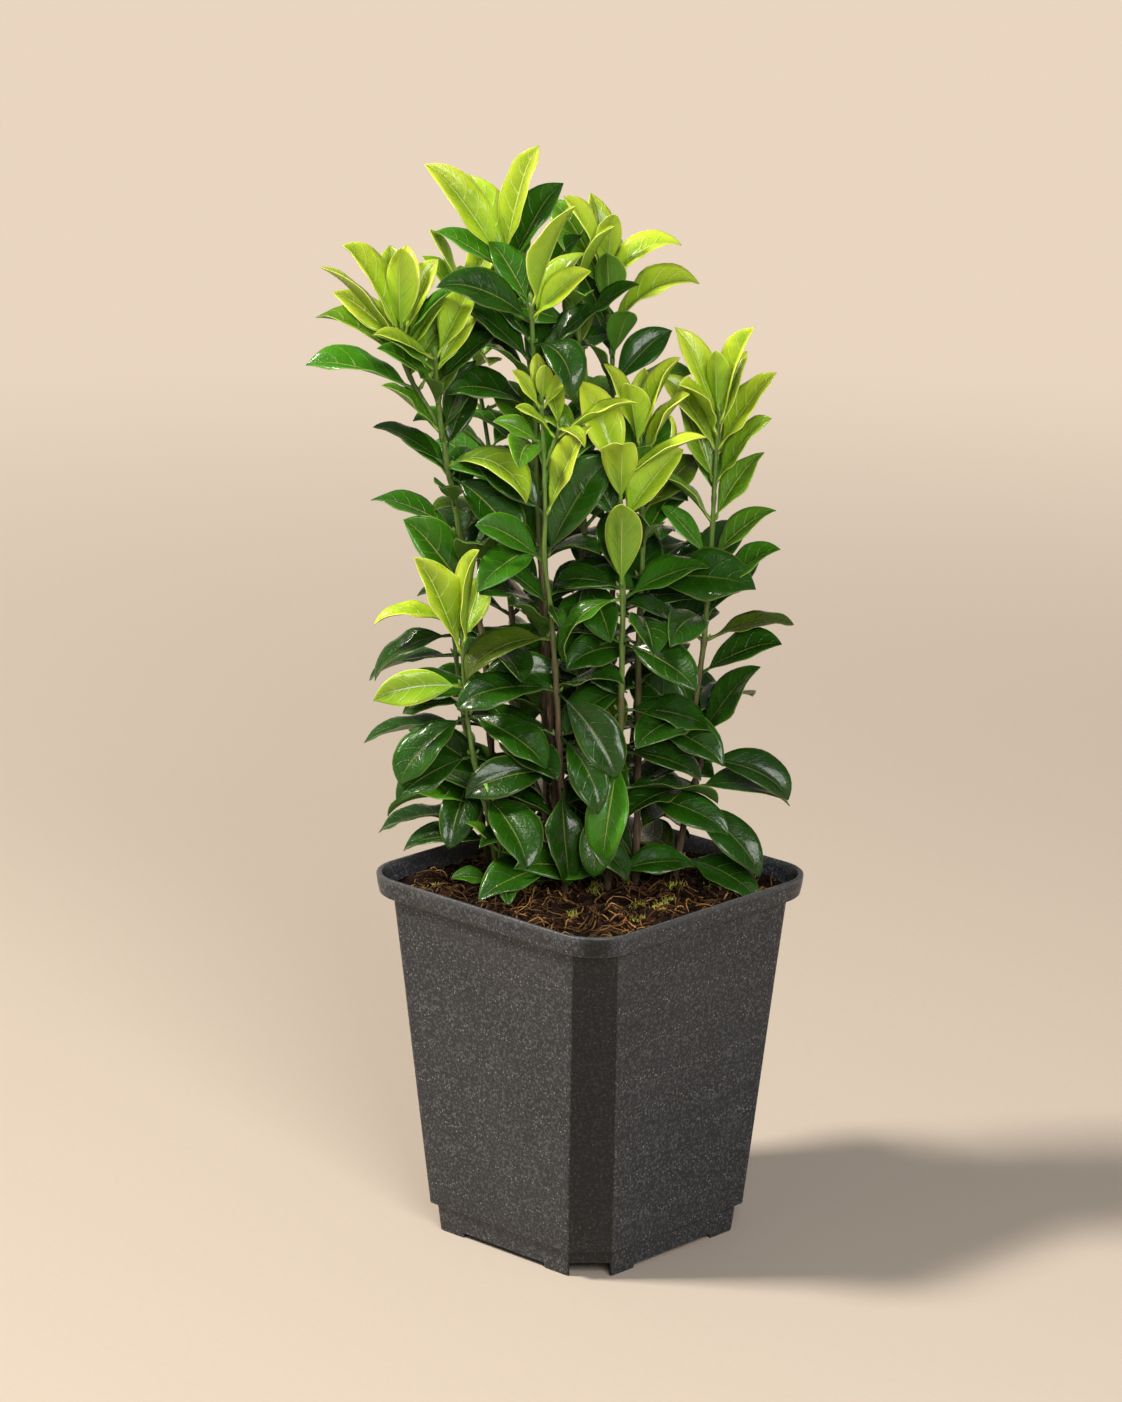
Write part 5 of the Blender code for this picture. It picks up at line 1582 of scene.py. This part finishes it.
def add_stem(bm, plan, leaves, top, swell, draw):
    """A stem or branch with its swollen joints, the bud at its tip and a small one above each leaf."""
    layer = bm.verts.layers.float_color["ripeness"]
    rings, nearness = skin_rings(plan, [row[0] for _, _, row, _ in leaves], swell)
    for verts, near, ring in zip(add_lofted(bm, rings), nearness, rings):
        for vert in verts:
            vert[layer] = (ripeness_at(top, ring[0].z), near, 0.0, 1.0)
    tip = plan["path"][-1]
    along = (tip - plan["path"][-2]).normalized()
    add_bud(bm, layer, tip + along * 1.2, along, TIP_BUD, 0.0)
    for _, _, _, (base, out, turn, _, _) in leaves:
        heading = heading_of(turn)
        spot = base + heading * (out - 0.3) + UP * 1.3
        aim = (UP + heading * 0.5).normalized()
        add_bud(bm, layer, spot, aim, draw.uniform(*SIDE_BUD), ripeness_at(top, spot.z) * 0.7)


class SPINDLE_OT_stems(Operator):
    """Grow the stems, with swollen joints, axil buds and the buds at their tips"""

    bl_idname = "spindle.stems"
    bl_label = "Grow the stems"

    def execute(self, context):
        settings = context.scene.spindle_stems
        material = stem_material(settings)
        plans, grown = grow()
        draw = random.Random(19)
        for name in GROWING_ORDER:
            bm = bmesh.new()
            bm.verts.layers.float_color.new("ripeness")
            top = plans[name]["path"][-1].z
            for plan_name in (name, name + "_branch"):
                if plan_name in plans:
                    leaves = [entry for entry in grown if entry[1] == plan_name]
                    add_stem(bm, plans[plan_name], leaves, top, settings.node_swell, draw)
            bmesh.ops.recalc_face_normals(bm, faces=bm.faces)
            skin = new_object(name + "_skin", bm, [material])
            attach(skin, "root")
            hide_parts(name + "_stem")
        return {"FINISHED"}


# ---- stage ----
VIEW_PITCH = 16.07
VIEW_DISTANCE = 1.86
VIEW_TARGET = (-10.34, 0.0, 183.7)  # in the plant's own axes
VIEW_LENS = 144.7
VIEW_SENSOR = 36.0
VIEW_ROLL = 0.65
VIEW_REACH = 20.0
FLOOR_REACH = 14.0
# Each lamp: its name, its setting, its place from the target as (right, away, up), its size and its colour.
# These lengths are in metres.
LAMPS = (
    ("key_lamp", "key", (-1.65, -0.23, 1.95), 0.45, (1.0, 0.93, 0.82)),
    ("fill_lamp", "fill", (0.45, -1.6, 0.9), 0.8, (1.0, 0.98, 0.95)),
)


def aimed(name, data, position, target):
    made = bpy.data.objects.new(name, data)
    turn = (target - position).to_track_quat("-Z", "Y").to_matrix().to_4x4()
    made.matrix_world = Matrix.Translation(position) @ turn
    bpy.context.scene.collection.objects.link(made)
    return made


def add_lamp(name, position, target, size, power, colour):
    data = bpy.data.lights.new(name, "AREA")
    data.shape = "SQUARE"
    data.size = size
    data.energy = power
    data.color = colour
    return aimed(name, data, position, target)


class SPINDLE_OT_stage(Operator):
    """Set up the camera, the soft lamps, the pale floor and the world"""

    bl_idname = "spindle.stage"
    bl_label = "Set up the studio"

    def execute(self, context):
        scene = context.scene
        settings = scene.spindle_stage
        target = to_frame(in_world(VIEW_TARGET))
        pitch = math.radians(VIEW_PITCH)
        away = in_world((0.0, 1.0, 0.0))
        right = in_world((1.0, 0.0, 0.0))
        look = away * math.cos(pitch) - UP * math.sin(pitch)
        camera = aimed("camera", bpy.data.cameras.new("camera"), target - look * VIEW_DISTANCE, target)
        camera.matrix_world = camera.matrix_world @ Matrix.Rotation(math.radians(VIEW_ROLL), 4, "Z")
        camera.data.lens = VIEW_LENS
        camera.data.sensor_width = VIEW_SENSOR
        camera.data.clip_end = VIEW_REACH
        scene.camera = camera

        for name, setting, (x, y, z), size, colour in LAMPS:
            place = target + right * x + away * y + UP * z
            add_lamp(name, place, target, size, getattr(settings, setting), colour)
        scene.world = light_world(settings)

        bm = bmesh.new()
        bmesh.ops.create_circle(bm, cap_ends=True, segments=64, radius=FLOOR_REACH)
        floor = new_object("floor", bm, [floor_material(settings)])
        scene.view_settings.view_transform = "Standard"
        return {"FINISHED"}


# ---- add-on ----
class SPINDLE_PT_panel(Panel):
    """Lists the steps and their settings"""

    bl_idname = "SPINDLE_PT_panel"
    bl_label = "Potted Japanese spindle"
    bl_space_type = "VIEW_3D"
    bl_region_type = "UI"
    bl_category = "Spindle"

    def draw(self, context):
        for operator, name, _ in STEPS:
            box = self.layout.box()
            box.operator(operator.bl_idname)
            settings = getattr(context.scene, name)
            for name in settings.__annotations__:
                box.prop(settings, name)


STEPS = (
    (SPINDLE_OT_pot, "spindle_pot", SpindlePotSettings),
    (SPINDLE_OT_soil, "spindle_soil", SpindleSoilSettings),
    (SPINDLE_OT_stems, "spindle_stems", SpindleStemSettings),
    (SPINDLE_OT_leaves, "spindle_leaves", SpindleLeafSettings),
    (SPINDLE_OT_stage, "spindle_stage", SpindleStageSettings),
)
CLASSES = (*(group for _, _, group in STEPS), *(operator for operator, _, _ in STEPS), SPINDLE_PT_panel)


def register():
    for cls in CLASSES:
        bpy.utils.register_class(cls)
    for _, name, group in STEPS:
        setattr(bpy.types.Scene, name, PointerProperty(type=group))


def unregister():
    for _, name, _ in STEPS:
        delattr(bpy.types.Scene, name)
    for cls in reversed(CLASSES):
        bpy.utils.unregister_class(cls)


def main():
    register()
    bpy.ops.spindle.pot()
    bpy.ops.spindle.soil()
    bpy.ops.spindle.stems()
    bpy.ops.spindle.leaves()
    bpy.ops.spindle.stage()


if __name__ == "__main__":
    main()
